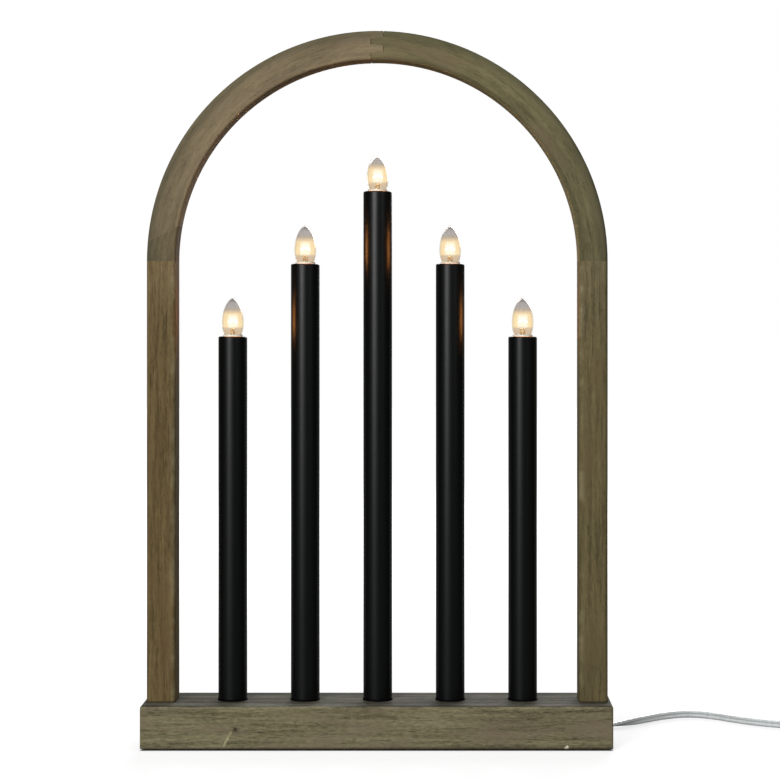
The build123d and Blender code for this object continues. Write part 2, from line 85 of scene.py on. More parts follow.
# %% Route points
cord_width = 5.4 * mm
cord_thickness = 2.7 * mm
cord_radius = cord_width / 2
lead_route = [Vector(point) * mm for point in (
    (75.75, 29.5, 10.5), (75.75, 41.0, 10.5), (84.0, 53.5, 6.5), (99.5, 60.5, 2.6), (118.0, 57.5, 1.35),
    (135.0, 49.5, 1.35), (152.5, 46.0, 1.6), (169.0, 51.5, 2.35), (190.0, 66.5, 2.75), (208.0, 83.5, 2.7),
    (227.0, 92.5, 2.7), (245.0, 84.5, 2.7), (259.0, 70.0, 2.7), (274.0, 58.0, 2.7), (289.5, 50.5, 2.7),
)]
coil_centre = Vector((348.0, 61.0, 0.0)) * mm
coil_mean_radius = 30.0 * mm
coil_growth = 6.0 * mm / math.tau
coil_layer = 6.0 * mm
coil_start_angle = math.radians(-123.0)
coil_sweep = math.radians(2193.0)
coil_inner = coil_mean_radius - coil_growth * coil_sweep / 4
points_per_turn = 18
tie_angle, tie_spread = 0.0, 0.35
tie_lift = 0.6 * mm


def coil_point(turned_by):
    along = turned_by - coil_sweep / 2
    reach, climb = abs(along), math.copysign(1.0, along)
    if reach < math.pi / 2:
        reach, climb = along * along / math.pi + math.pi / 4, math.sin(along)
    radius = coil_inner + coil_growth * reach
    angle = coil_start_angle + turned_by
    off_tie = (angle - tie_angle + math.pi) % math.tau - math.pi
    lift = tie_lift * math.exp(-(off_tie / tie_spread) ** 2)
    height = cord_radius + coil_layer * (1 + climb) / 2 + lift
    return coil_centre + Vector((radius * math.cos(angle), radius * math.sin(angle), height))


small_turn = 1e-3
coil_steps = round(coil_sweep / math.tau * points_per_turn)
coil_points = [coil_point(coil_sweep * step / coil_steps) for step in range(coil_steps + 1)]
coil_in = (coil_point(small_turn) - coil_point(0.0)).normalized()
run_in = [coil_points[0] - coil_in * reach * mm for reach in (25.4, 12.0)]
plug_entry = Vector((383.4, 22.817, 6.9)) * mm
run_out = [plug_entry + Vector(step) * mm for step in ((-20.0, -0.9, 0.0), (-8.0, 0.0, 0.0), (3.0, 0.0, 0.0))]
route = [*lead_route, *run_in, *coil_points, *run_out]
print("route points", len(route))

# %% [markdown]
# Blender turns the NURBS curve into a line of close points. The way ahead at each point gives two
# directions across the line, one level and one upright, to hang a section on.


# %% Line helpers
def nurbs_line(points, name="route"):
    curve = bpy.data.curves.new(name, "CURVE")
    curve.dimensions = "3D"
    spline = curve.splines.new("NURBS")
    spline.points.add(len(points) - 1)
    for control, place in zip(spline.points, points):
        control.co = (*place, 1.0)
    spline.order_u = 3
    spline.use_endpoint_u = True
    spline.resolution_u = 7
    carrier = bpy.data.objects.new(name, curve)
    mesh = bpy.data.meshes.new_from_object(carrier)
    line = [vertex.co.copy() for vertex in mesh.vertices]
    bpy.data.objects.remove(carrier)
    bpy.data.curves.remove(curve)
    bpy.data.meshes.remove(mesh)
    return line


def lengths_along(line):
    total, found = 0.0, [0.0]
    for here, after in zip(line, line[1:]):
        total += (after - here).length
        found.append(total)
    return found


def ahead_at(line, number):
    return line[min(number + 1, len(line) - 1)] - line[max(number - 1, 0)]


def cross_frames(line):
    frames = []
    for number in range(len(line)):
        ahead = ahead_at(line, number)
        side = ahead.cross(Vector((0, 0, 1))).normalized()
        frames.append((side, side.cross(ahead.normalized())))
    return frames


print("line helpers ready")

# %% [markdown]
# A curve's own bevel could draw a cord, but its section would not turn just where it should. So a ring
# of section points is set across the line at each point, and the rings are joined into a closed skin.
# Skins that belong to one piece, such as the two cores of the lead, are joined into one mesh.


# %% Skin helpers
def circle(radius, sides):
    turns = [math.tau * step / sides for step in range(sides)]
    return [(radius * math.cos(turn), radius * math.sin(turn)) for turn in turns]


def skin(rings):
    count = len(rings[0])
    verts = [vert for ring in rings for vert in ring]
    faces = []
    for ring in range(len(rings) - 1):
        for spot in range(count):
            here, beside = ring * count + spot, ring * count + (spot + 1) % count
            faces.append((here, beside, beside + count, here + count))
    faces.append(tuple(range(count))[::-1])
    faces.append(tuple(range(len(verts) - count, len(verts))))
    return verts, faces


def joined(skins):
    verts, faces = [], []
    for more_verts, more_faces in skins:
        faces += [tuple(spot + len(verts) for spot in face) for face in more_faces]
        verts += more_verts
    return verts, faces


def add_piece(name, verts, faces, finish=None, smooth=True):
    mesh = bpy.data.meshes.new(name)
    mesh.from_pydata([tuple(vert) for vert in verts], [], faces)
    mesh.update()
    if smooth:
        mesh.shade_smooth()
    else:
        mesh.shade_flat()
    piece = bpy.data.objects.new(name, mesh)
    scene.collection.objects.link(piece)
    if finish:
        mesh.materials.append(finish)
    return piece


print("skin helpers ready")

# %% [markdown]
# The section of a flat two-core lead is two round lobes with a shallow waist between them. It is level
# at the base, turns up by a quarter over a short length and then stays upright. Each point keeps its
# length along the lead as an attribute, which the finish reads later.

# %% Flat lead and its cores
twist_from, twist_to = Vector((160.0, 48.0)) * mm, Vector((194.0, 70.0)) * mm
cord_line = nurbs_line(route)
cord_along = lengths_along(cord_line)
cord_frames = cross_frames(cord_line)
loose_rings = len(cord_line) // 4


def nearest_length(place):
    best = min(range(loose_rings), key=lambda number: (cord_line[number].xy - place).length)
    return cord_along[best]


twist_start, twist_end = nearest_length(twist_from), nearest_length(twist_to)


def twist_at(length):
    share = min(max((length - twist_start) / (twist_end - twist_start), 0.0), 1.0)
    return math.pi / 2 * share * share * (3 - 2 * share)


lobe = cord_thickness / 2
waist_angle, lobe_step = 150, 25
lobe_angles = [math.radians(angle) for angle in range(-waist_angle, waist_angle + 1, lobe_step)]
section = [(lobe + lobe * math.cos(angle), lobe * math.sin(angle)) for angle in lobe_angles]
section += [(-across, -up) for across, up in section]
core_radius, core_sides = 0.6 * mm, 10


def cord_rings(outline):
    rings = []
    for place, length, (side, up) in zip(cord_line, cord_along, cord_frames):
        angle = twist_at(length)
        wide = side * math.cos(angle) + up * math.sin(angle)
        thin = up * math.cos(angle) - side * math.sin(angle)
        rings.append([place + wide * across + thin * high for across, high in outline])
    return rings


lead = add_piece("lead_sheath", *skin(cord_rings(section)))
lead_lengths = [length for length in cord_along for _ in section]
lead.data.attributes.new("along", "FLOAT", "POINT").data.foreach_set("value", lead_lengths)
core_outlines = [[(side + x, y) for x, y in circle(core_radius, core_sides)] for side in (-lobe, lobe)]
cores = add_piece("lead_cores", *joined(skin(cord_rings(outline)) for outline in core_outlines))
print("lead length", round(cord_along[-1], 3), "rings", len(cord_line))

# %% [markdown]
# A paper-covered wire tie holds the coil together. It goes once round the bundle of turns, and its two
# ends are twisted and laid down on top. Its outline is given as distances from the coil's middle and
# heights, in millimetres.

# %% Coil tie
tie_width, tie_thickness = 2.4 * mm, 0.4 * mm
tie_outward = Vector((math.cos(tie_angle), math.sin(tie_angle), 0))
tie_across = Vector((-math.sin(tie_angle), math.cos(tie_angle), 0))
upward = Vector((0, 0, 1))
tie_in, tie_middle, tie_out = 17.6, 30.0, 43.0
tie_low, tie_shoulder, tie_high = 0.4, 12.0, 13.0
tie_outline = [
    (tie_middle, tie_high), (36.0, tie_high), (41.0, tie_shoulder), (tie_out, 8.5), (tie_out, 4.0),
    (41.5, tie_low), (37.0, tie_low), (tie_middle, tie_low), (23.5, tie_low), (19.1, tie_low),
    (tie_in, 4.0), (tie_in, 8.5), (19.6, tie_shoulder), (24.5, tie_high), (tie_middle, tie_high),
]
strand_turns, strand_steps = 4.0, 96
strand_length, strand_height = 19.0, tie_high + 0.9
strand_radius, strand_half_width = 0.75 * mm, 0.8 * mm
square_corners = ((-1, -1), (1, -1), (1, 1), (-1, 1))


def tie_spot(outward, height, across=0.0):
    return coil_centre + (tie_outward * outward + tie_across * across + upward * height) * mm


def strip_ring(place, first_half, second_half):
    return [place + first_half * first + second_half * second for first, second in square_corners]


def tie_band():
    line = nurbs_line([tie_spot(*spot) for spot in tie_outline], "tie")
    rings = []
    for number, place in enumerate(line):
        thick = ahead_at(line, number).normalized().cross(tie_across)
        rings.append(strip_ring(place, tie_across * tie_width / 2, thick * tie_thickness / 2))
    return skin(rings)


def tie_strand(start):
    rings = []
    for step in range(strand_steps + 1):
        share = step / strand_steps
        turn = start + math.tau * strand_turns * share
        out = tie_outward * math.cos(turn) + upward * math.sin(turn)
        wide = upward * math.cos(turn) - tie_outward * math.sin(turn)
        place = tie_spot(tie_middle, strand_height, strand_length * share) + out * strand_radius
        rings.append(strip_ring(place, out * tie_thickness / 2, wide * strand_half_width))
    return skin(rings)


tie_skins = [tie_band(), tie_strand(0.0), tie_strand(math.pi)]
tie = add_piece("coil_tie", *joined(tie_skins), smooth=False)
print("tie faces", len(tie.data.polygons))

# %% [markdown]
# ## Finishes
# Each finish is a Principled shader with its own pattern. Small helpers add nodes and set their sockets,
# so that a finish reads as a short list of what feeds what.


# %% Node helpers
def add(tree, kind, inputs=None, **settings):
    made = tree.nodes.new(kind)
    for name, value in settings.items():
        setattr(made, name, value)
    for socket, value in (inputs or {}).items():
        if isinstance(value, bpy.types.NodeSocket):
            tree.links.new(value, made.inputs[socket])
        else:
            made.inputs[socket].default_value = value
    return made


def calc(tree, operation, first, second=0.0, third=0.0):
    return add(tree, "ShaderNodeMath", {0: first, 1: second, 2: third}, operation=operation).outputs[0]


def hypotenuse(tree, first, second):
    squares = calc(tree, "ADD", calc(tree, "POWER", first, 2), calc(tree, "POWER", second, 2))
    return calc(tree, "SQRT", squares)


def vector_calc(tree, operation, first, second=(0, 0, 0)):
    made = add(tree, "ShaderNodeVectorMath", {0: first, 1: second}, operation=operation)
    return made.outputs["Value" if operation == "LENGTH" else "Vector"]


def scaled(tree, vector, factor):
    return add(tree, "ShaderNodeVectorMath", {0: vector, "Scale": factor}, operation="SCALE").outputs[0]


def split(tree, vector):
    return add(tree, "ShaderNodeSeparateXYZ", {0: vector}).outputs


print("node helpers ready")

# %% [markdown]
# A finish is mostly fading from one value to another, tinting one colour with another and raising the
# surface a little. Each of these is one node with many sockets, so each gets a helper with a short name.


# %% Finish helpers
def object_place(tree):
    return add(tree, "ShaderNodeTexCoord").outputs["Object"]


def fade(tree, value, low, high, start=0.0, end=1.0):
    inputs = {"Value": value, "From Min": low, "From Max": high, "To Min": start, "To Max": end}
    return add(tree, "ShaderNodeMapRange", inputs, interpolation_type="SMOOTHSTEP").outputs["Result"]


def tint(tree, mask, low, high, blend="MIX"):
    inputs = {0: mask, 6: low, 7: high}
    return add(tree, "ShaderNodeMix", inputs, data_type="RGBA", blend_type=blend).outputs[2]


def bump(tree, height, strength, distance):
    inputs = {"Height": height, "Strength": strength, "Distance": distance}
    return add(tree, "ShaderNodeBump", inputs).outputs[0]


def feed(tree, target, **outputs):
    for name, output in outputs.items():
        tree.links.new(output, target.inputs[name.replace("_", " ")])


def new_finish(name, inputs=None):
    material = bpy.data.materials.new(name)
    material.use_nodes = True
    shader = material.node_tree.nodes["Principled BSDF"]
    for socket, value in (inputs or {}).items():
        shader.inputs[socket].default_value = value
    return material, material.node_tree, shader


print("finish helpers ready")

# %% [markdown]
# An effect that several finishes share is a node group with named sockets, placed in each of them with
# its own values. Most patterns are noise, and a stretched noise has its own number of waves per metre
# in each direction. Most of a noise's values lie in its middling range, so many masks start there.

# %% Group and noise helpers
middling, nearly_all = (0.3, 0.7), (0.2, 0.8)


def new_group(name, inputs, outputs):
    group = bpy.data.node_groups.new(name, "ShaderNodeTree")
    for label, kind, value in inputs:
        socket = group.interface.new_socket(name=label, in_out="INPUT", socket_type=f"NodeSocket{kind}")
        socket.default_value = value
    for label, kind in outputs:
        group.interface.new_socket(name=label, in_out="OUTPUT", socket_type=f"NodeSocket{kind}")
    return group, group.nodes.new("NodeGroupInput").outputs, group.nodes.new("NodeGroupOutput")


def use_group(tree, group, inputs):
    return add(tree, "ShaderNodeGroup", inputs, node_tree=group).outputs


def noise(tree, vector, scale, detail=3.0, rough=0.55):
    inputs = {"Vector": vector, "Scale": scale, "Detail": detail, "Roughness": rough}
    return add(tree, "ShaderNodeTexNoise", inputs).outputs["Fac"]


def long_noise(tree, vector, waves, detail=3.0, rough=0.55, offset=(0, 0, 0)):
    inputs = {"Vector": vector, "Scale": waves, "Location": offset}
    stretched = add(tree, "ShaderNodeMapping", inputs).outputs[0]
    return noise(tree, stretched, 1.0, detail, rough)


print("group and noise helpers ready")

# %% [markdown]
# ### Stained pine
# Pine is sawn along the trunk, so its year rings show as long streaks with fine pores between them. The
# grey-brown stain soaks in unevenly: olive in some places, reddish in others. One node group makes that
# grain from a vector whose X runs along the wood, and every board uses it with its own direction. A
# picture of wood could be laid on the boards too, but a pattern in space also fits their edges and ends.
# The group's first half is a set of noises, each stretched along the wood.

# %% Grain noises
blotch_waves, streak_waves, wander_waves = (16, 48, 48), (16, 330, 330), (5, 12, 12)
mottle_waves, fibre_waves, fleck_waves = (210, 760, 760), (90, 1500, 1500), (150, 1000, 1000)
crack_waves, crack_offset = (26, 560, 560), (0.7, 2.3, 5.9)
stain_waves, stain_offset = (20, 75, 75), (3.1, 1.7, 0.4)
grain_group, given, result = new_group(
    "pine grain",
    [
        ("Place", "Vector", (0, 0, 0)), ("Heart", "Vector", (0, 0.07, 0.05)), ("Ring Width", "Float", 0.0032),
        ("Light", "Color", (0.2, 0.17, 0.1, 1)), ("Dark", "Color", (0.08, 0.07, 0.04, 1)),
        ("Red", "Color", (0.17, 0.13, 0.09, 1)), ("Seed", "Float", 0.0), ("Streaks", "Float", 0.32),
        ("Blotches", "Float", 0.26), ("Mottle", "Float", 0.50),
    ],
    [("Color", "Color"), ("Rough", "Float"), ("Height", "Float")],
)
shift = add(grain_group, "ShaderNodeCombineXYZ", {0: given["Seed"], 1: given["Seed"]}).outputs[0]
place = vector_calc(grain_group, "ADD", given["Place"], shift)
blotch = long_noise(grain_group, place, blotch_waves)
streak = long_noise(grain_group, place, streak_waves, 4.0, 0.6)
mottle = long_noise(grain_group, place, mottle_waves, 4.0, 0.7)
fibre = long_noise(grain_group, place, fibre_waves, 3.0, 0.6)
fleck = long_noise(grain_group, place, fleck_waves, 2.0, 0.5)
crack = long_noise(grain_group, place, crack_waves, 1.0, offset=crack_offset)
wander = long_noise(grain_group, place, wander_waves, 2.0)
stain = long_noise(grain_group, place, stain_waves, 2.0, offset=stain_offset)
print("grain noises", len(grain_group.nodes))

# %% [markdown]
# The year rings are circles round the trunk's heart, bent a little by a slow noise. Streaks, blotches,
# mottle and fibres add up to one value between the dark and the light wood. The late wood of each year,
# flecks and thin cracks take from it, and the red stain goes over it.

# %% Year rings and stain
ring_wander = 0.014
late_start, late_end = (0.35, 0.86), (1.0, 0.9)
mottle_range, stain_range = (0.32, 0.68), (0.46, 0.72)
fleck_range, crack_range = (0.64, 0.74), (0.66, 0.74)
fibre_share, late_share, line_share = 0.24, -0.14, -0.34
stain_share, fleck_share = 0.75, 0.35
fibre_height, late_height, fleck_height = 0.6, 0.25, -0.5
grain_rough = (0.78, 0.62)
from_heart = vector_calc(grain_group, "SUBTRACT", given["Place"], given["Heart"])
to_heart = vector_calc(grain_group, "LENGTH", vector_calc(grain_group, "MULTIPLY", from_heart, (0, 1, 1)))
to_heart = calc(grain_group, "MULTIPLY_ADD", wander, ring_wander, to_heart)
year = calc(grain_group, "FRACT", calc(grain_group, "DIVIDE", to_heart, given["Ring Width"]))
late = fade(grain_group, year, *late_start)
late = calc(grain_group, "MULTIPLY", late, fade(grain_group, year, *late_end))
dark_fleck = fade(grain_group, fleck, *fleck_range)
dark_line = calc(grain_group, "MAXIMUM", dark_fleck, fade(grain_group, crack, *crack_range))
value = calc(grain_group, "MULTIPLY", fade(grain_group, streak, *middling), given["Streaks"])
for wave, share in (
    (fade(grain_group, blotch, *middling), given["Blotches"]),
    (fade(grain_group, mottle, *mottle_range), given["Mottle"]),
    (fade(grain_group, fibre, *middling), fibre_share),
    (late, late_share),
    (dark_line, line_share),
):
    value = calc(grain_group, "MULTIPLY_ADD", wave, share, value)
colour = tint(grain_group, value, given["Dark"], given["Light"])
colour = tint(grain_group, fade(grain_group, stain, *stain_range, 0.0, stain_share), colour, given["Red"])
colour = tint(grain_group, calc(grain_group, "MULTIPLY", dark_fleck, fleck_share), colour, given["Dark"])
height = calc(grain_group, "MULTIPLY", late, late_height)
height = calc(grain_group, "MULTIPLY_ADD", fibre, fibre_height, height)
height = calc(grain_group, "MULTIPLY_ADD", dark_fleck, fleck_height, height)
rough = fade(grain_group, fibre, *nearly_all, *grain_rough)
feed(grain_group, result, Color=colour, Rough=rough, Height=height)
print("grain nodes", len(grain_group.nodes))

# %% [markdown]
# Edges of a stained board are rubbed paler, but only here and there. A second group turns the distance
# from an edge into such a broken line.

# %% Edge wear group
patch_waves, patch_range, near_range = 45.0, (0.42, 0.66), (0.0, 0.8)
wear_group, given, result = new_group(
    "rubbed edge",
    [
        ("Place", "Vector", (0, 0, 0)), ("Distance", "Float", 0.0), ("Width", "Float", 0.002),
        ("Amount", "Float", 0.5),
    ],
    [("Mask", "Float")],
)
near = calc(wear_group, "SUBTRACT", 1.0, calc(wear_group, "DIVIDE", given["Distance"], given["Width"]))
near = fade(wear_group, near, *near_range)
patch = fade(wear_group, noise(wear_group, given["Place"], patch_waves, 4.0, 0.65), *patch_range)
mask = calc(wear_group, "MULTIPLY", calc(wear_group, "MULTIPLY", near, patch), given["Amount"])
feed(wear_group, result, Mask=mask)


def edge_distance(tree, off_one_face, off_other_face):
    return calc(tree, "ADD", calc(tree, "ABSOLUTE", off_one_face), calc(tree, "ABSOLUTE", off_other_face))


print("wear nodes", len(wear_group.nodes))

# %% [markdown]
# ### Boards
# The legs' grain runs up, the base's runs along, and the arch's bends with the arch a little less than
# the wood does, because each half is sawn out of straight planks. So the arch reads its place as an
# angle and a radius round the middle of the arch.

# %% Wood finishes
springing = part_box("left_leg")[1].z
arch_radius = 149.5 * mm
straight_share = 0.12
grain_strength, grain_depth, pine_sheen = 0.35, 0.4 * mm, 0.03


def board_place(tree, direction):
    apart = split(tree, object_place(tree))
    if direction == "along":
        parts = (apart[0], apart[2], apart[1])
    elif direction == "up":
        parts = (apart[2], apart[0], apart[1])
    else:
        rise = calc(tree, "SUBTRACT", apart[2], springing)
        angle = calc(tree, "ARCTAN2", apart[0], rise)
        radius = hypotenuse(tree, apart[0], rise)
        off_middle = calc(tree, "COSINE", calc(tree, "SUBTRACT", calc(tree, "ABSOLUTE", angle), math.pi / 4))
        kept = calc(tree, "MULTIPLY_ADD", off_middle, straight_share, 1 - straight_share)
        parts = (calc(tree, "MULTIPLY", angle, arch_radius), calc(tree, "MULTIPLY", radius, kept), apart[1])
    return add(tree, "ShaderNodeCombineXYZ", dict(enumerate(parts))).outputs[0], apart


def pine(name, direction, light, dark, red, seed, heart, ring, marks, **weights):
    material, tree, shader = new_finish(name, {"Specular IOR Level": pine_sheen})
    place, apart = board_place(tree, direction)
    grain = use_group(tree, grain_group, {
        "Place": place, "Heart": heart, "Ring Width": ring, "Light": (*light, 1), "Dark": (*dark, 1),
        "Red": (*red, 1), "Seed": seed, **weights,
    })
    colour, height = marks(tree, apart, grain["Color"], grain["Height"])
    normal = bump(tree, height, grain_strength, grain_depth)
    feed(tree, shader, Base_Color=colour, Roughness=grain["Rough"], Normal=normal)
    return material


def dress(finish, *nodes):
    for node in nodes:
        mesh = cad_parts[node].data
        mesh.materials.clear()
        mesh.materials.append(finish)


print("springing", round(springing, 4))

# %% [markdown]
# The base's front has a small dark knot with a pale streak running down from it, a chip at the lower
# edge where raw wood shows, and a rubbed line on its front top edge. Its top is greyer, in broad bands,
# as a painted sheen, and its lowest edge is darkened by painted shade. All are masks at those places. A
# fine noise makes the knot, the streak and the chip ragged, so that they don't look painted on.

# %% Base marks
base_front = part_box("base_block")[0].y
base_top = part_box("base_block")[1].z
raw_wood = (0.70, 0.63, 0.48, 1)
pale_wood = (0.33, 0.29, 0.17, 1)
knot_and_shade_wood = (0.035, 0.026, 0.016, 1)
top_painted_sheen, top_painted_sheen_dark = (0.78, 0.84, 1.09, 1), (0.35, 0.38, 0.50, 1)
band_waves, band_range = (7, 130, 130), (0.40, 0.62)
knot_line = ((-96.7 * mm, 14.2 * mm), (-96.6 * mm, 14.2 * mm))
streak_line = ((-104.6 * mm, 3.0 * mm), (-99.6 * mm, 12.4 * mm))
faint_line = ((-99.6 * mm, 12.4 * mm), (-95.4 * mm, 22.0 * mm))
chip_line = ((129.2 * mm, 1.1 * mm), (130.4 * mm, 2.4 * mm))
streak_fade, faint_fade, faint_share = (1.1 * mm, 0.2 * mm), (0.8 * mm, 0.0), 0.3
halo_fade, halo_share = (5.0 * mm, 1.2 * mm), 0.3
knot_fade, knot_share = (1.7 * mm, 0.8 * mm), 0.85
chip_fade, chip_height = (1.2 * mm, 0.7 * mm), -3.0
front_depth, ragged_width, ragged_waves = 3 * mm, 2.4 * mm, 400.0
broken_waves, broken_range, broken_shares = 260.0, (0.36, 0.62), (0.25, 0.9)
base_rub_width, base_rub_amount = 3 * mm, 0.30
top_fade = (base_top - 0.9 * mm, base_top - 0.1 * mm)
low_edge_shade_fade, low_edge_shade_share = (2.6 * mm, 1.2 * mm), 0.7


def line_distance(tree, apart, first, last):
    (x0, z0), (x1, z1) = first, last
    long = math.hypot(x1 - x0, z1 - z0)
    ux, uz = (x1 - x0) / long, (z1 - z0) / long
    x = calc(tree, "SUBTRACT", apart[0], x0)
    z = calc(tree, "SUBTRACT", apart[2], z0)
    reach = calc(tree, "MULTIPLY_ADD", x, ux, calc(tree, "MULTIPLY", z, uz))
    reach = add(tree, "ShaderNodeClamp", {"Value": reach, "Min": 0.0, "Max": long}).outputs[0]
    dx = calc(tree, "MULTIPLY_ADD", reach, -ux, x)
    dz = calc(tree, "MULTIPLY_ADD", reach, -uz, z)
    return hypotenuse(tree, dx, dz)


def base_marks_and_shade(tree, apart, colour, height):
    place = object_place(tree)
    at_front = calc(tree, "LESS_THAN", apart[1], base_front + front_depth)
    uneven = calc(tree, "SUBTRACT", noise(tree, place, ragged_waves), 0.5)
    ragged = calc(tree, "MULTIPLY", uneven, ragged_width)

    def off(line):
        return calc(tree, "ADD", line_distance(tree, apart, *line), ragged)

    def on_front(distance, limits, most=1.0):
        return calc(tree, "MULTIPLY", fade(tree, distance, *limits, 0.0, most), at_front)

    broken = fade(tree, noise(tree, place, broken_waves), *broken_range, *broken_shares)
    broken = calc(tree, "MULTIPLY", broken, at_front)
    streak = fade(tree, off(streak_line), *streak_fade)
    faint = fade(tree, off(faint_line), *faint_fade, 0.0, faint_share)
    streak = calc(tree, "MULTIPLY", calc(tree, "MAXIMUM", streak, faint), broken)
    colour = tint(tree, streak, colour, pale_wood)
    knot = off(knot_line)
    colour = tint(tree, on_front(knot, halo_fade, halo_share), colour, knot_and_shade_wood)
    colour = tint(tree, on_front(knot, knot_fade, knot_share), colour, knot_and_shade_wood)
    chip = on_front(off(chip_line), chip_fade)
    colour = tint(tree, chip, colour, raw_wood)
    height = calc(tree, "MULTIPLY_ADD", chip, chip_height, height)
    below_top = calc(tree, "SUBTRACT", apart[2], base_top)
    from_front = calc(tree, "SUBTRACT", apart[1], base_front)
    worn = use_group(tree, wear_group, {
        "Place": place, "Distance": edge_distance(tree, below_top, from_front), "Width": base_rub_width,
        "Amount": base_rub_amount,
    })["Mask"]
    colour = tint(tree, worn, colour, pale_wood)
    # The top's greyer bands are a painted sheen, a painted reflection of the pale surroundings.
    bands = fade(tree, long_noise(tree, place, band_waves), *band_range)
    on_top = fade(tree, apart[2], *top_fade)
    colour = tint(tree, on_top, colour, tint(tree, bands, top_painted_sheen_dark, top_painted_sheen), "MULTIPLY")
    # The darker lowest edge is painted shade.
    low_edge_shade = fade(tree, apart[2], *low_edge_shade_fade, 0.0, low_edge_shade_share)
    return tint(tree, low_edge_shade, colour, knot_and_shade_wood), height


base_pine = pine(
    "base pine", "along", (0.214, 0.190, 0.111), (0.048, 0.042, 0.022), (0.166, 0.132, 0.088), 0.0,
    heart=(0, 0.060, 0.045), ring=0.0036, marks=base_marks_and_shade,
)
dress(base_pine, "base_block")
print("base front", round(base_front, 4), "top", round(base_top, 4))

# %% [markdown]
# Both legs are a golden brown, and paler towards the arch. Their inner front edges are rubbed, and a line
# of painted shade darkens them where they stand on the base. One group makes these marks for both.

# %% Leg rubbing and painted shade group
leg_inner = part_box("right_leg")[0].x
rail_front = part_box("right_leg")[0].y
leg_top_tone, leg_top_length = (1.20, 1.22, 1.34, 1), 80 * mm
leg_rub_width, leg_rub_amount = 5 * mm, 0.35
foot_shade_fade, foot_shade_share = (base_top + 1.6 * mm, base_top + 0.3 * mm), 0.85
rub_and_shade_group, given, result = new_group(
    "leg rubbing and foot shade",
    [("Place", "Vector", (0, 0, 0)), ("Color", "Color", (0.1, 0.1, 0.1, 1))],
    [("Color", "Color")],
)
apart = split(rub_and_shade_group, given["Place"])
to_side = calc(rub_and_shade_group, "SUBTRACT", calc(rub_and_shade_group, "ABSOLUTE", apart[0]), leg_inner)
to_front = calc(rub_and_shade_group, "SUBTRACT", apart[1], rail_front)
worn = use_group(rub_and_shade_group, wear_group, {
    "Place": given["Place"], "Distance": edge_distance(rub_and_shade_group, to_side, to_front), "Width": leg_rub_width,
    "Amount": leg_rub_amount,
})["Mask"]
near_arch = fade(rub_and_shade_group, apart[2], springing - leg_top_length, springing)
# A line of painted shade darkens each leg's foot where it stands on the base.
foot_shade = fade(rub_and_shade_group, apart[2], *foot_shade_fade, 0.0, foot_shade_share)
colour = tint(rub_and_shade_group, worn, given["Color"], pale_wood)
colour = tint(rub_and_shade_group, near_arch, colour, leg_top_tone, "MULTIPLY")
feed(rub_and_shade_group, result, Color=tint(rub_and_shade_group, foot_shade, colour, knot_and_shade_wood))
print("leg nodes", len(rub_and_shade_group.nodes))

# %% [markdown]
# The arch is darker along its outer rim, as painted shade, and paler towards its top, as painted light
# from above. Its soffit, the hollow side that faces the candles, and the edge beside it are painted paler
# than the boards, as painted light, each half in its own measure, so both are inputs of its group.

# %% Arch painted light and shade group
arch_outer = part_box("arch_right")[1].x
rim_shade_wood = (0.055, 0.056, 0.034, 1)
rim_width, rim_share = 10 * mm, 0.55
rim_waves, rim_ragged = 70.0, 3 * mm
low_painted_light, high_painted_light = (0.94, 0.94, 0.94, 1), (1.16, 1.15, 1.13, 1)
soffit_fade = (leg_inner + 0.6 * mm, leg_inner + 0.2 * mm)
edge_fade = (leg_inner + 3.2 * mm, leg_inner + 1.0 * mm)
arch_light_and_shade_group, given, result = new_group(
    "arch painted light and shade",
    [
        ("Place", "Vector", (0, 0, 0)), ("Color", "Color", (0.1, 0.1, 0.1, 1)), ("Soffit", "Float", 0.0),
        ("Edge", "Float", 0.0),
    ],
    [("Color", "Color")],
)
apart = split(arch_light_and_shade_group, given["Place"])
rise = calc(arch_light_and_shade_group, "SUBTRACT", apart[2], springing)
radius = hypotenuse(arch_light_and_shade_group, apart[0], rise)
uneven = noise(arch_light_and_shade_group, given["Place"], rim_waves)
ragged = calc(arch_light_and_shade_group, "MULTIPLY_ADD", uneven, rim_ragged, -rim_ragged / 2)
ragged = calc(arch_light_and_shade_group, "ADD", radius, ragged)
# The dark outer rim is painted shade.
rim = fade(arch_light_and_shade_group, ragged, arch_outer - rim_width, arch_outer, 0.0, rim_share)
# The paler soffit and the edge beside it are painted light.
on_soffit = fade(arch_light_and_shade_group, radius, *soffit_fade)
at_edge = calc(arch_light_and_shade_group, "SUBTRACT", fade(arch_light_and_shade_group, radius, *edge_fade), on_soffit)
paler = calc(arch_light_and_shade_group, "MULTIPLY_ADD", on_soffit, given["Soffit"], 1.0)
paler = calc(arch_light_and_shade_group, "MULTIPLY_ADD", at_edge, given["Edge"], paler)
# Paler towards the top is painted light from above.
tone = tint(arch_light_and_shade_group, fade(arch_light_and_shade_group, rise, 0.0, arch_outer), low_painted_light, high_painted_light)
colour = tint(arch_light_and_shade_group, 1.0, given["Color"], tone, "MULTIPLY")
colour = tint(arch_light_and_shade_group, rim, colour, rim_shade_wood)
feed(arch_light_and_shade_group, result, Color=scaled(arch_light_and_shade_group, colour, paler))
print("rim nodes", len(arch_light_and_shade_group.nodes))

# %% [markdown]
# The arch's left half is the lightest board, its right half is more olive, and the wedge under the
# slanting seam is darker. The seams themselves are real joints of the solids.

# %% Leg and arch finishes
leg_weights = {"Streaks": 0.44, "Mottle": 0.34}
half_weights = {"Streaks": 0.20, "Blotches": 0.44, "Mottle": 0.30}
heel_weights = {"Streaks": 0.30, "Blotches": 0.42, "Mottle": 0.26}


def leg_marks_and_shade(tree, apart, colour, height):
    return use_group(tree, rub_and_shade_group, {"Place": object_place(tree), "Color": colour})["Color"], height


def arch_light_and_shade(soffit, edge):
    def marks(tree, apart, colour, height):
        values = {"Place": object_place(tree), "Color": colour, "Soffit": soffit, "Edge": edge}
        return use_group(tree, arch_light_and_shade_group, values)["Color"], height
    return marks


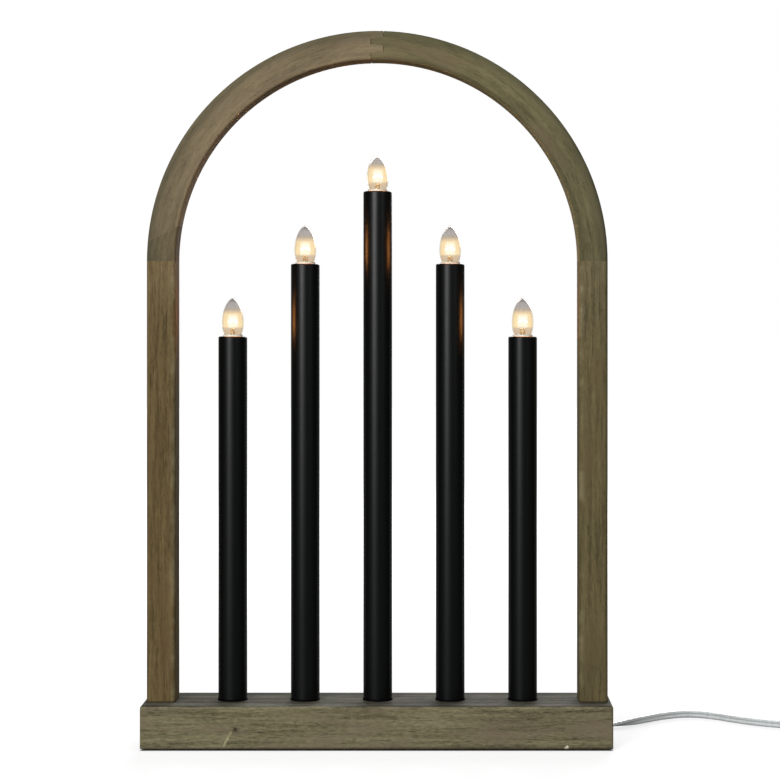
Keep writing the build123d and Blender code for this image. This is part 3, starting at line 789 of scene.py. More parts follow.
left_leg_pine = pine(
    "left leg pine", "up", (0.146, 0.104, 0.046), (0.044, 0.031, 0.014), (0.112, 0.074, 0.034), 3.0,
    heart=(0, -0.20, 0.05), ring=0.0034, marks=leg_marks_and_shade, **leg_weights,
)
right_leg_pine = pine(
    "right leg pine", "up", (0.150, 0.122, 0.058), (0.050, 0.041, 0.020), (0.114, 0.088, 0.043), 7.0,
    heart=(0, 0.20, 0.055), ring=0.0030, marks=leg_marks_and_shade, **leg_weights,
)
arch_light = pine(
    "arch left pine", "arch", (0.205, 0.160, 0.096), (0.084, 0.066, 0.040), (0.160, 0.124, 0.082), 1.3,
    heart=(0, 0.215, 0.03), ring=0.0062, marks=arch_light_and_shade(soffit=0.35, edge=0.55), **half_weights,
)
arch_olive = pine(
    "arch right pine", "arch", (0.166, 0.145, 0.075), (0.064, 0.057, 0.029), (0.134, 0.106, 0.062), 5.1,
    heart=(0, 0.21, -0.04), ring=0.0056, marks=arch_light_and_shade(soffit=0.95, edge=0.0), **half_weights,
)
arch_dark = pine(
    "arch heel pine", "arch", (0.148, 0.120, 0.068), (0.056, 0.045, 0.025), (0.116, 0.088, 0.054), 9.4,
    heart=(0, 0.22, 0.03), ring=0.0035, marks=arch_light_and_shade(soffit=0.0, edge=0.4), **heel_weights,
)
dress(left_leg_pine, "left_leg")
dress(right_leg_pine, "right_leg")
dress(arch_light, "arch_left")
dress(arch_dark, "arch_left_heel")
dress(arch_olive, "arch_right")
print("boards dressed")

# %% [markdown]
# ### Moulded plastic and paint
# The candle tubes are painted a satin black that is a little uneven. The holders, the plug and the bush
# are moulded, with the same fine skin in other colours. One group makes that skin.

# %% Skin group and plastics
cloud_waves, cloud_range = 60.0, (0.35, 0.7)
grit_waves, grit_depth = 2600.0, 0.1 * mm
skin_group, given, result = new_group(
    "moulded skin",
    [
        ("Place", "Vector", (0, 0, 0)), ("Color", "Color", (0.5, 0.5, 0.5, 1)),
        ("Shade", "Color", (0.4, 0.4, 0.4, 1)), ("Low Rough", "Float", 0.35), ("High Rough", "Float", 0.5),
    ],
    [("Color", "Color"), ("Rough", "Float"), ("Height", "Float")],
)
cloud = noise(skin_group, given["Place"], cloud_waves)
grit = noise(skin_group, given["Place"], grit_waves, 2.0)
colour = tint(skin_group, fade(skin_group, cloud, *cloud_range), given["Color"], given["Shade"])
spread = add(skin_group, "ShaderNodeMapRange", {
    "Value": cloud, "From Min": middling[0], "From Max": middling[1], "To Min": given["Low Rough"],
    "To Max": given["High Rough"],
}).outputs["Result"]
feed(skin_group, result, Color=colour, Rough=spread, Height=grit)


def moulded(name, colour, shade, rough, specular=0.5, grit=0.12):
    material, tree, shader = new_finish(name, {"Specular IOR Level": specular})
    made = use_group(tree, skin_group, {
        "Place": object_place(tree), "Color": (*colour, 1), "Shade": (*shade, 1), "Low Rough": rough[0],
        "High Rough": rough[1],
    })
    normal = bump(tree, made["Height"], grit, grit_depth)
    feed(tree, shader, Base_Color=made["Color"], Roughness=made["Rough"], Normal=normal)
    return material


satin_black = moulded(
    "satin black", (0.0009, 0.0014, 0.0014), (0.0006, 0.0010, 0.0010), (0.35, 0.39), specular=0.22, grit=0.03,
)
foot_black = moulded(
    "moulded black", (0.002, 0.002, 0.002), (0.0015, 0.0015, 0.0015), (0.42, 0.55), specular=0.03,
)
cream_plastic = moulded("holder cream", (0.76, 0.72, 0.62), (0.70, 0.65, 0.54), (0.4, 0.5))
plug_white = moulded("plug white", (0.72, 0.72, 0.70), (0.66, 0.66, 0.64), (0.38, 0.5))
grip_grey = moulded("grip grey", (0.2, 0.2, 0.195), (0.17, 0.17, 0.165), (0.45, 0.58))
wire_ivory = moulded("wire sheath", (0.62, 0.58, 0.48), (0.56, 0.52, 0.43), (0.4, 0.5))
solder_black = moulded("insulator", (0.015, 0.015, 0.018), (0.01, 0.01, 0.012), (0.15, 0.3))
candle_numbers = range(1, 6)
for number in candle_numbers:
    dress(satin_black, f"candle_tube_{number}")
    dress(foot_black, f"candle_foot_{number}")
    dress(cream_plastic, f"lamp_holder_{number}")
    dress(solder_black, f"bulb_{number}_contact")
dress(plug_white, "plug_body", "cord_bush")
dress(grip_grey, "cord_grip")
dress(wire_ivory, "series_wires")
print("plastics dressed")

# %% [markdown]
# ### Metal, felt and board
# Screws, caps and contacts are metal with fine drawing lines and some tarnish. A group makes both, and
# each metal gives it two colours.

# %% Metals
drawing_waves, drawn_rough = (400, 400, 6000), (0.22, 0.4)
drawing_strength, drawing_depth = 0.1, 0.1 * mm
tarnish_waves, tarnish_range, tarnish_share = 500.0, (0.5, 0.8), 0.6
brush_group, given, result = new_group(
    "drawn metal",
    [
        ("Place", "Vector", (0, 0, 0)), ("Color", "Color", (0.6, 0.6, 0.6, 1)),
        ("Tarnish", "Color", (0.3, 0.3, 0.3, 1)),
    ],
    [("Color", "Color"), ("Rough", "Float"), ("Height", "Float")],
)
lines = long_noise(brush_group, given["Place"], drawing_waves, 2.0)
spots = noise(brush_group, given["Place"], tarnish_waves, 4.0)
spots = fade(brush_group, spots, *tarnish_range, 0.0, tarnish_share)
colour = tint(brush_group, spots, given["Color"], given["Tarnish"])
rough = fade(brush_group, lines, *middling, *drawn_rough)
feed(brush_group, result, Color=colour, Rough=rough, Height=lines)


def drawn_metal(tree, colour, tarnish):
    values = {"Place": object_place(tree), "Color": (*colour, 1), "Tarnish": (*tarnish, 1)}
    return use_group(tree, brush_group, values)


def metal(name, colour, tarnish):
    material, tree, shader = new_finish(name, {"Metallic": 1.0})
    made = drawn_metal(tree, colour, tarnish)
    normal = bump(tree, made["Height"], drawing_strength, drawing_depth)
    feed(tree, shader, Base_Color=made["Color"], Roughness=made["Rough"], Normal=normal)
    return material


nickel_colour, nickel_tarnish = (0.66, 0.64, 0.60), (0.48, 0.46, 0.42)
brass = metal("brass", (0.72, 0.50, 0.20), (0.42, 0.27, 0.10))
zinc = metal("zinc plate", (0.58, 0.58, 0.56), (0.36, 0.36, 0.35))
nickel = metal("nickel plate", nickel_colour, nickel_tarnish)
dress(brass, "screw_shells", "centre_contacts", *[f"bulb_{number}_cap" for number in candle_numbers])
dress(zinc, "leg_screws", "cover_screws", "grip_screws")
dress(nickel, "splice_sleeves")
print("metals dressed")

# %% [markdown]
# The pads are pressed felt, the cover under the base is hardboard and the dowels are beech. Short fibres
# in all directions make up the look of each, so one group serves them all, at different scales.

# %% Felt, board and dowels
hair_share, fibre_strength, mottle_ratio = 0.6, 0.6, 6.0
fibre_range = (0.35, 0.65)
fibre_group, given, result = new_group(
    "pressed fibre",
    [
        ("Place", "Vector", (0, 0, 0)), ("Color", "Color", (0.5, 0.5, 0.5, 1)),
        ("Shade", "Color", (0.4, 0.4, 0.4, 1)), ("Scale", "Float", 400.0),
    ],
    [("Color", "Color"), ("Height", "Float")],
)
hair = noise(fibre_group, given["Place"], given["Scale"], 5.0, 0.7)
mottle = noise(fibre_group, given["Place"], calc(fibre_group, "DIVIDE", given["Scale"], mottle_ratio))
mottle = calc(fibre_group, "MULTIPLY", mottle, 1 - hair_share)
mixed = calc(fibre_group, "MULTIPLY_ADD", hair, hair_share, mottle)
colour = tint(fibre_group, fade(fibre_group, mixed, *fibre_range), given["Shade"], given["Color"])
feed(fibre_group, result, Color=colour, Height=hair)


def fibrous(name, colour, shade, scale, rough, depth):
    material, tree, shader = new_finish(name)
    made = use_group(tree, fibre_group, {
        "Place": object_place(tree), "Color": (*colour, 1), "Shade": (*shade, 1), "Scale": scale,
    })
    feed(tree, shader, Base_Color=made["Color"], Roughness=fade(tree, made["Height"], *nearly_all, *rough),
         Normal=bump(tree, made["Height"], fibre_strength, depth))
    return material


felt = fibrous("pad felt", (0.035, 0.035, 0.036), (0.014, 0.014, 0.015), 1400.0, (0.9, 1.0), 0.6 * mm)
hardboard = fibrous("hardboard", (0.19, 0.115, 0.06), (0.11, 0.062, 0.031), 420.0, (0.55, 0.75), 0.2 * mm)
beech = fibrous("beech", (0.55, 0.38, 0.20), (0.44, 0.29, 0.15), 260.0, (0.5, 0.65), 0.2 * mm)
dress(felt, "felt_pads")
dress(hardboard, "base_cover")
dress(beech, "leg_dowels", "arch_dowels")
print("underside dressed")

# %% [markdown]
# The plug's pins are nickel at the tip and have a sleeve of plastic near the plug, as on every such
# plug. A mask on the distance from the plug's face switches between the two.

# %% Plug pins
sleeve_length, sleeve_colour = 10 * mm, (0.70, 0.70, 0.68, 1)
sleeve_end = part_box("plug_pins")[0].x + sleeve_length
pin_polish = -0.12
pin_finish, tree, shader = new_finish("plug pins")
bare = calc(tree, "GREATER_THAN", split(tree, object_place(tree))[0], sleeve_end)
made = drawn_metal(tree, nickel_colour, nickel_tarnish)
feed(tree, shader, Base_Color=tint(tree, bare, sleeve_colour, made["Color"]), Metallic=bare,
     Roughness=calc(tree, "MULTIPLY_ADD", bare, pin_polish, made["Rough"]))
dress(pin_finish, "plug_pins")
print("sleeve ends at", round(sleeve_end, 4))

# %% [markdown]
# ### The clear lead
# The sheath is see-through vinyl, a little grey, over two tinned cores. Thin vinyl lets the light of the
# floor through and shows each core as a darker line. Near the base, where the base shades it, it is
# painted paler, as painted light. The attribute that holds the length along the lead tells where that is.

# %% Lead finishes
plain_vinyl, milky_vinyl = (0.63, 0.665, 0.665, 1), (0.71, 0.745, 0.745, 1)
painted_light_vinyl = (0.90, 0.93, 0.93, 1)
painted_light_until, painted_light_full = 195 * mm, 150 * mm
ripple_waves, stripe_waves, milk_range = 240.0, 90.0, (0.35, 0.65)
vinyl_rough, vinyl_strength, vinyl_depth = (0.12, 0.24), 0.15, 0.4 * mm
clear_vinyl, tree, shader = new_finish("clear vinyl", {"IOR": 1.46, "Transmission Weight": 0.22})
along = add(tree, "ShaderNodeAttribute", attribute_name="along").outputs["Fac"]
ripple = noise(tree, object_place(tree), ripple_waves)
banding = {"W": calc(tree, "MULTIPLY", along, stripe_waves)}
stripe = add(tree, "ShaderNodeTexNoise", banding, noise_dimensions="1D").outputs[0]
milk = calc(tree, "MULTIPLY_ADD", stripe, 0.5, calc(tree, "MULTIPLY", ripple, 0.5))
colour = tint(tree, fade(tree, milk, *milk_range), plain_vinyl, milky_vinyl)
# Near the base the lead is painted paler, as painted light against the base's shade.
colour = tint(tree, fade(tree, along, painted_light_until, painted_light_full), colour, painted_light_vinyl)
feed(tree, shader, Base_Color=colour, Roughness=fade(tree, milk, *middling, *vinyl_rough),
     Normal=bump(tree, milk, vinyl_strength, vinyl_depth))

tin_dark, tin_light = (0.16, 0.16, 0.165, 1), (0.26, 0.265, 0.27, 1)
tin_waves, tin_rough, tin_strength, tin_depth = 900.0, (0.3, 0.5), 0.5, 0.2 * mm
tinned, tree, shader = new_finish("tinned strands", {"Metallic": 1.0})
lay = noise(tree, object_place(tree), tin_waves)
feed(tree, shader, Base_Color=tint(tree, fade(tree, lay, *middling), tin_dark, tin_light),
     Roughness=fade(tree, lay, *middling, *tin_rough), Normal=bump(tree, lay, tin_strength, tin_depth))

tie_paper = fibrous("tie paper", (0.70, 0.70, 0.67), (0.58, 0.58, 0.55), 900.0, (0.6, 0.8), 0.1 * mm)
lead.data.materials.append(clear_vinyl)
cores.data.materials.append(tinned)
tie.data.materials.append(tie_paper)
dress(clear_vinyl, "inner_cord")
print("lead dressed")

# %% [markdown]
# ### Grip ribs on the plug
# The plug's boot has rings that let it bend. They repeat along the boot and grow with it, so Geometry
# Nodes make them: a line of points, a ring on each, scaled from the first size to the last.


# %% Geometry tree helpers
def geometry_tree(name, inputs):
    tree = bpy.data.node_groups.new(name, "GeometryNodeTree")
    tree.interface.new_socket(name="Geometry", in_out="INPUT", socket_type="NodeSocketGeometry")
    sockets = {}
    for label, kind, value in inputs:
        socket = tree.interface.new_socket(name=label, in_out="INPUT", socket_type=f"NodeSocket{kind}")
        if value is not None:
            socket.default_value = value
        sockets[label] = socket.identifier
    tree.interface.new_socket(name="Geometry", in_out="OUTPUT", socket_type="NodeSocketGeometry")
    return tree, sockets, tree.nodes.new("NodeGroupInput").outputs, tree.nodes.new("NodeGroupOutput")


def tube_section(tree, sides, radius):
    return add(tree, "GeometryNodeCurvePrimitiveCircle", {"Resolution": sides, "Radius": radius}).outputs[0]


def grown(name, carrier, tree, sockets, values):
    scene.collection.objects.link(carrier)
    modifier = carrier.modifiers.new(tree.name, "NODES")
    modifier.node_group = tree
    for label, value in values.items():
        modifier[sockets[label]] = value
    evaluated = carrier.evaluated_get(bpy.context.evaluated_depsgraph_get())
    mesh = bpy.data.meshes.new_from_object(evaluated)
    mesh.name = name
    carrier.modifiers.clear()
    bpy.data.objects.remove(carrier)
    piece = bpy.data.objects.new(name, mesh)
    scene.collection.objects.link(piece)
    return piece


print("geometry helpers ready")

# %% [markdown]
# The tree takes the number of ribs, the place of the first, the step to the next and the sizes as inputs.
# An empty mesh carries it, and the result is kept as a plain mesh.

# %% Rib tree
ring_sides, rib_sides = 40, 8
rib_tree, rib_sockets, given, result = geometry_tree("boot ribs", [
    ("Count", "Int", 6), ("Start", "Vector", (0, 0, 0)), ("Step", "Vector", (0.002, 0, 0)),
    ("First Radius", "Float", 0.003), ("Last Radius", "Float", 0.005), ("Rib Radius", "Float", 0.0004),
    ("Finish", "Material", None),
])
line = add(rib_tree, "GeometryNodeMeshLine", {
    "Count": given["Count"], "Start Location": given["Start"], "Offset": given["Step"],
}, mode="OFFSET").outputs[0]
share = calc(rib_tree, "DIVIDE", add(rib_tree, "GeometryNodeInputIndex").outputs[0],
             calc(rib_tree, "SUBTRACT", given["Count"], 1.0))
radius = add(rib_tree, "ShaderNodeMapRange", {
    "Value": share, "To Min": given["First Radius"], "To Max": given["Last Radius"],
}).outputs["Result"]
placed = add(rib_tree, "GeometryNodeInstanceOnPoints", {
    "Points": line, "Instance": tube_section(rib_tree, ring_sides, 1.0), "Rotation": (0, math.radians(90), 0),
    "Scale": radius,
}).outputs[0]
real = add(rib_tree, "GeometryNodeRealizeInstances", {0: placed}).outputs[0]
profile = tube_section(rib_tree, rib_sides, given["Rib Radius"])
solid = add(rib_tree, "GeometryNodeCurveToMesh", {"Curve": real, "Profile Curve": profile}).outputs[0]
smooth = add(rib_tree, "GeometryNodeSetShadeSmooth", {0: solid}).outputs[0]
painted = add(rib_tree, "GeometryNodeSetMaterial", {0: smooth, "Material": given["Finish"]}).outputs[0]
feed(rib_tree, result, Geometry=painted)

first_rib = (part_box("plug_body")[0].x + 1.6 * mm, plug_entry.y, plug_entry.z)
carrier = bpy.data.objects.new("rib_carrier", bpy.data.meshes.new("rib_carrier"))
ribs = grown("boot_ribs", carrier, rib_tree, rib_sockets, {
    "Count": 6, "Start": first_rib, "Step": (2.3 * mm, 0.0, 0.0), "First Radius": 3.75 * mm,
    "Last Radius": 5.1 * mm, "Rib Radius": 0.5 * mm, "Finish": plug_white,
})
print("rib faces", len(ribs.data.polygons))

# %% [markdown]
# ## Bulbs
# A candle bulb is thin blown glass, widest low down and drawn to a tip. Inside stand a glass stem, two
# lead wires and a fine coil that glows. The CAD solids give the outline; here the glass is turned on a
# lathe with many more steps. A Screw modifier could do that too, but code also knows each ring's height,
# which the glow needs.

# %% Lathe helpers
on_axis = 1e-7


def turned(profile, steps=72):
    verts, faces, rows = [], [], []
    for radius, height in profile:
        if radius < on_axis:
            rows.append([len(verts)] * steps)
            verts.append(Vector((0, 0, height)))
            continue
        rows.append(list(range(len(verts), len(verts) + steps)))
        verts += [Vector((x, y, height)) for x, y in circle(radius, steps)]
    for low, high in zip(rows, rows[1:]):
        for step in range(steps):
            beside = (step + 1) % steps
            corners = [low[step], low[beside], high[beside], high[step]]
            face = list(dict.fromkeys(corners))
            if len(face) > 2:
                faces.append(face)
    return verts, faces


def bezier(first, pull, draw, last, steps):
    points = []
    for step in range(1, steps + 1):
        t = step / steps
        weights = ((1 - t) ** 3, 3 * t * (1 - t) ** 2, 3 * t * t * (1 - t), t ** 3)
        controls = tuple(zip(weights, (first, pull, draw, last)))
        points.append(tuple(sum(weight * spot[axis] for weight, spot in controls) for axis in (0, 1)))
    return points


def quarter(first, corner, last, steps, fullness=0.54):
    pull = [a + (c - a) * fullness for a, c in zip(first, corner)]
    draw = [b + (c - b) * fullness for b, c in zip(last, corner)]
    return bezier(first, pull, draw, last, steps)


print("lathe helpers ready")

# %% [markdown]
# The glass has an outer and an inner outline, one wall apart. Each goes up the neck, swells by a quarter
# round to the belly and is drawn in by one long curve to the tip. Heights are counted from the top of
# the candle tube.

# %% Glass outline
bulb_tip = 26.8 * mm
neck_radius, belly_radius, glass_wall = 3.85 * mm, 7.5 * mm, 0.6 * mm
shoulder_height = -0.8 * mm
neck_heights = (-7.0 * mm, -3.0 * mm, shoulder_height)
belly_height, belly_pull = 9.5 * mm, 9.3 * mm
tip_radius, tip_drop = 3.6 * mm, 1.1 * mm
shoulder_steps, drawn_steps = 18, 34


def envelope(wall):
    neck, widest, tip = neck_radius - wall, belly_radius - wall, bulb_tip - wall
    shoulder, corner, belly = (neck, shoulder_height), (widest, shoulder_height), (widest, belly_height)
    profile = [(neck, height) for height in neck_heights]
    profile += quarter(shoulder, corner, belly, shoulder_steps)
    pull, draw = (widest, belly_height + belly_pull), (tip_radius - wall / 2, tip - tip_drop)
    return profile + bezier(belly, pull, draw, (0.0, tip), drawn_steps)


glass_profile = envelope(0.0) + envelope(glass_wall)[::-1]
glass_profile.append(glass_profile[0])
glass_verts, glass_faces = turned(glass_profile)
print("glass rings", len(glass_profile), "faces", len(glass_faces))

# %% [markdown]
# The filament is a helix wound along a bent line, a shape with a simple rule. Geometry Nodes resample the
# line, push each point out round it by a turning angle, and give the result a round section.

# %% Filament tree
wire_section_sides = 6
coil_tree, coil_sockets, given, result = geometry_tree("wound filament", [
    ("Turns", "Float", 34.0), ("Coil Radius", "Float", 0.0003), ("Wire Radius", "Float", 0.00007),
    ("Points", "Int", 400), ("Finish", "Material", None),
])
resampled = {0: given["Geometry"], "Count": given["Points"]}
fine = add(coil_tree, "GeometryNodeResampleCurve", resampled).outputs[0]
angle = calc(coil_tree, "MULTIPLY", add(coil_tree, "GeometryNodeSplineParameter").outputs["Factor"],
             calc(coil_tree, "MULTIPLY", given["Turns"], math.tau))
tangent = add(coil_tree, "GeometryNodeInputTangent").outputs[0]
level = (0.0, 1.0, 0.0)
upright = vector_calc(coil_tree, "CROSS_PRODUCT", tangent, level)
high_reach = calc(coil_tree, "MULTIPLY", calc(coil_tree, "COSINE", angle), given["Coil Radius"])
level_reach = calc(coil_tree, "MULTIPLY", calc(coil_tree, "SINE", angle), given["Coil Radius"])
pushed_up, pushed_level = scaled(coil_tree, upright, high_reach), scaled(coil_tree, level, level_reach)
pushed = vector_calc(coil_tree, "ADD", pushed_up, pushed_level)
wound = add(coil_tree, "GeometryNodeSetPosition", {"Geometry": fine, "Offset": pushed}).outputs[0]
profile = tube_section(coil_tree, wire_section_sides, given["Wire Radius"])
solid = add(coil_tree, "GeometryNodeCurveToMesh", {"Curve": wound, "Profile Curve": profile}).outputs[0]
real = add(coil_tree, "GeometryNodeRealizeInstances", {0: solid}).outputs[0]
painted = add(coil_tree, "GeometryNodeSetMaterial", {0: real, "Material": given["Finish"]}).outputs[0]
feed(coil_tree, result, Geometry=painted)
print("filament nodes", len(coil_tree.nodes))

# %% [markdown]
# The lit bulb is brightest round the coil. The glass scatters some of that light, most at the belly and
# hardly any at the tip, so the glass glows by its height, which each of its points keeps as an attribute.
# The camera sees that soft glow, while the surfaces around get the stronger light that a lit bulb throws.

# %% Lit glass
glow_stops = [
    (0.00, (0.020, 0.010, 0.005)), (0.06, (0.070, 0.044, 0.024)), (0.20, (0.085, 0.055, 0.030)),
    (0.26, (0.186, 0.142, 0.064)), (0.57, (0.172, 0.126, 0.056)), (0.63, (0.105, 0.072, 0.034)),
    (0.69, (0.022, 0.014, 0.006)), (0.80, (0.0, 0.0, 0.0)),
]
halo_colour, no_glow = (0.228, 0.226, 0.198, 1), (0.0, 0.0, 0.0, 1)
clear_dark, clear_light = (0.62, 0.595, 0.58, 1), (0.69, 0.665, 0.65, 1)
warm_light_glass, tip_shade_glass, glass_edge_shade = (1.0, 0.965, 0.865, 1), (0.42, 0.405, 0.395, 1), (0.34, 0.325, 0.30, 1)
thrown_light, mirrored_light = (4.5, 1.7, 0.45, 1), (16.0, 5.4, 1.1, 1)
drawn_waves, glass_rough = (900, 900, 120), (0.01, 0.05)
coil_from, coil_until, coil_facing = (0.20, 0.27), (0.62, 0.48), (0.20, 0.03)
rim_facing, rim_shade_share, rim_glow_loss = (0.38, 0.88), 0.85, 0.55
warm_light_below, tip_shade_from, tip_shade_share = (0.82, 0.58), (0.84, 0.97), 0.8
lit_glass, tree, shader = new_finish("lit glass", {
    "Transmission Weight": 1.0, "IOR": 1.08, "Emission Strength": 1.0,
})
rise = add(tree, "ShaderNodeAttribute", attribute_name="bulb_height").outputs["Fac"]
glow = add(tree, "ShaderNodeValToRGB", {"Fac": rise})
while len(glow.color_ramp.elements) < len(glow_stops):
    glow.color_ramp.elements.new(0.5)
for element, (spot, colour) in zip(glow.color_ramp.elements, glow_stops):
    element.position = spot
    element.color = (*colour, 1)
facing = add(tree, "ShaderNodeLayerWeight", {"Blend": 0.5}).outputs["Facing"]
# The grey edges of the glass, where it faces away, are painted shade.
rim = fade(tree, facing, *rim_facing, 0.0, rim_shade_share)
round_coil = calc(tree, "MULTIPLY", fade(tree, rise, *coil_from), fade(tree, rise, *coil_until))
round_coil = calc(tree, "MULTIPLY", round_coil, fade(tree, facing, *coil_facing))
halo = tint(tree, round_coil, glow.outputs["Color"], halo_colour)
halo = tint(tree, calc(tree, "MULTIPLY", rim, rim_glow_loss), halo, no_glow)
path = add(tree, "ShaderNodeLightPath").outputs
within = calc(tree, "GREATER_THAN", path["Transmission Depth"], 0.5)
looked_at = calc(tree, "MAXIMUM", path["Is Camera Ray"], within)
thrown = tint(tree, path["Is Glossy Ray"], thrown_light, mirrored_light)
drawn = long_noise(tree, object_place(tree), drawn_waves, 2.0)
clear = tint(tree, drawn, clear_dark, clear_light)
# The warmer lower glass is painted light from the coil, and the grey tip is painted shade.
clear = tint(tree, fade(tree, rise, *warm_light_below), clear, warm_light_glass, "MULTIPLY")
clear = tint(tree, fade(tree, rise, *tip_shade_from, 0.0, tip_shade_share), clear, tip_shade_glass)
feed(tree, shader, Emission_Color=tint(tree, looked_at, thrown, halo),
     Base_Color=tint(tree, rim, clear, glass_edge_shade), Roughness=fade(tree, drawn, *middling, *glass_rough))
print("lit glass nodes", len(tree.nodes))

# %% [markdown]
# The stem is pressed glass with a faint veil in it, and a painted glow gives it the gold of the coil's
# light. The coil itself is far brighter than white, and its heat is a little uneven.

# %% Stem and coil finishes
veil_waves, heat_waves = 700.0, 900.0
stem_dark, stem_light = (0.34, 0.28, 0.21, 1), (0.44, 0.36, 0.27, 1)
stem_glow_dim, stem_glow_bright = (0.17, 0.120, 0.065, 1), (0.23, 0.165, 0.09, 1)
coil_dark, coil_light = (0.2, 0.15, 0.1, 1), (0.3, 0.22, 0.14, 1)
coil_orange, coil_gold = (1.0, 0.50, 0.17, 1), (1.0, 0.60, 0.24, 1)
stem_glass, tree, shader = new_finish("stem glass", {
    "Transmission Weight": 0.6, "IOR": 1.5, "Roughness": 0.2, "Emission Strength": 1.0,
})
veil = noise(tree, object_place(tree), veil_waves)
# The stem's emission is a painted glow.
feed(tree, shader, Base_Color=tint(tree, veil, stem_dark, stem_light),
     Emission_Color=tint(tree, veil, stem_glow_dim, stem_glow_bright))

glowing, tree, shader = new_finish("glowing coil", {"Emission Strength": 60.0, "Roughness": 0.6})
heat = noise(tree, object_place(tree), heat_waves)
feed(tree, shader, Emission_Color=tint(tree, heat, coil_orange, coil_gold),
     Base_Color=tint(tree, heat, coil_dark, coil_light))
print("bulb finishes ready")

# %% [markdown]
# One filament, one stem and one set of wires are made at the origin, to be copied into each bulb: two
# lead wires that hold the coil's ends, and a thin hook that holds up its middle. Their points are
# in millimetres.

# %% Filament, stem and wires
filament_line = [(-3.0, 0.0, 9.6), (-1.6, 0.0, 10.9), (0.0, 0.0, 11.4), (1.6, 0.0, 10.9), (3.0, 0.0, 9.6)]
stem_profile = [
    (0.0, -6.8), (1.9, -6.8), (1.95, 0.5), (1.9, 2.6), (1.8, 4.3), (1.4, 5.1), (0.7, 5.4), (0.0, 5.45),
]
lead_wire = [(1.1, 3.5), (1.2, 6.2), (2.2, 8.2), (3.1, 9.7)]
hook_wire = [(0, 0, 5.0), (0.1, 0, 7.5), (0, 0, 11.2)]
lead_wire_radius, hook_radius, wire_sides, stem_sides = 0.17 * mm, 0.1 * mm, 8, 36

curve = bpy.data.curves.new("filament_line", "CURVE")
curve.dimensions = "3D"
spline = curve.splines.new("POLY")
spline.points.add(len(filament_line) - 1)
for control, spot in zip(spline.points, filament_line):
    control.co = (*(Vector(spot) * mm), 1.0)
filament = grown("filament", bpy.data.objects.new("filament_line", curve), coil_tree, coil_sockets, {
    "Turns": 30.0, "Coil Radius": 0.34 * mm, "Wire Radius": 0.09 * mm, "Points": 420, "Finish": glowing,
})


def wire_skin(points, radius):
    line = nurbs_line([Vector(point) * mm for point in points], "wire")
    rings = []
    for number, place in enumerate(line):
        ahead = ahead_at(line, number).normalized()
        side = ahead.cross(Vector((0, 1, 0))).normalized()
        up = side.cross(ahead)
        rings.append([place + side * x + up * y for x, y in circle(radius, wire_sides)])
    return skin(rings)


stem_verts, stem_faces = turned([(radius * mm, height * mm) for radius, height in stem_profile], stem_sides)
wire_skins = [
    wire_skin([(side * reach, 0, height) for reach, height in lead_wire], lead_wire_radius)
    for side in (-1, 1)
]
wire_verts, wire_faces = joined([*wire_skins, wire_skin(hook_wire, hook_radius)])
print("filament faces", len(filament.data.polygons), "wire faces", len(wire_faces))

# %% [markdown]
# A copy of each goes into every bulb. It keeps its place in its mesh, and rides on the body that turns
# when its bulb is unscrewed.

# %% Bulbs on the frame
tube_radius = 10 * mm
bulb_feet = {}
for number in candle_numbers:
    tube_low, tube_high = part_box(f"candle_tube_{number}")
    bulb_feet[number] = Vector((tube_low.x + tube_radius, 0, tube_high.z))
glass_heights = [vert.z / bulb_tip for vert in glass_verts]

for number, foot in bulb_feet.items():
    glass = add_piece(f"glass_{number}", [vert + foot for vert in glass_verts], glass_faces, lit_glass)
    glass.data.attributes.new("bulb_height", "FLOAT", "POINT").data.foreach_set("value", glass_heights)
    stem = add_piece(f"stem_{number}", [vert + foot for vert in stem_verts], stem_faces, stem_glass)
    wires = add_piece(f"filament_wires_{number}", [vert + foot for vert in wire_verts], wire_faces, nickel)
    coil = bpy.data.objects.new(f"filament_coil_{number}", filament.data.copy())
    coil.data.transform(Matrix.Translation(foot))
    scene.collection.objects.link(coil)
    for piece, slot in ((glass, "clear_glass"), (stem, "filament"), (wires, "filament"), (coil, "filament")):
        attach(piece, f"bulb_{number}_turn")
    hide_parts(f"bulb_{number}_glass")
    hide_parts(f"bulb_{number}_filament")
bpy.data.objects.remove(filament)
print("bulbs", len(bulb_feet))

# %% [markdown]
# The lead stands for the two CAD tubes, which are hidden. It rides on the frame with its cores, the tie
# and the boot's ribs.

# %% Lead on the frame
for piece, slot in ((lead, "cord_clear"), (cores, "nickel"), (tie, "plug_white"), (ribs, "plug_white")):
    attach(piece, "frame")
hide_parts("cord_lead", "cord_coil")

# %% [markdown]
# ## Floor and light
# The photograph is cut out on white. The floor is a pale sheet that still takes the object's shadow, and
# rays from the camera and through glass find it nearly white. Under the base it gets none of that
# white, so a dark line stays there. Mirror rays find it dim, and dimmer in front, so the tubes stay black.

# %% Floor sheet
floor_reach, floor_drop = 6.0, 0.4 * mm
base_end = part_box("base_block")[1].x
sheet_dark, sheet_light = (0.32, 0.32, 0.32, 1), (0.35, 0.35, 0.35, 1)
sheet_unseen, paper_waves = (0.11, 0.11, 0.108, 1), 8.0
mirror_range, mirror_shares = (-0.30, 0.15), (0.04, 0.14)
base_line_fade = (-1.5 * mm, 1.0 * mm)
away_range, away_shares = (0.25, 1.1), (0.70, 1.0)
floor_corners = [(x * floor_reach, y * floor_reach, -floor_drop) for x, y in square_corners]
floor = add_piece("floor", floor_corners, [(0, 1, 2, 3)])
white_sheet, tree, shader = new_finish("white sheet", {"Roughness": 0.9, "Specular IOR Level": 0.1})
path = add(tree, "ShaderNodeLightPath").outputs
place = object_place(tree)
apart = split(tree, place)
mirrored = fade(tree, apart[1], *mirror_range, *mirror_shares)
mirrored = calc(tree, "MULTIPLY", path["Is Glossy Ray"], mirrored)
straight = calc(tree, "MAXIMUM", path["Is Camera Ray"], path["Is Transmission Ray"])
seen = calc(tree, "MAXIMUM", straight, mirrored)
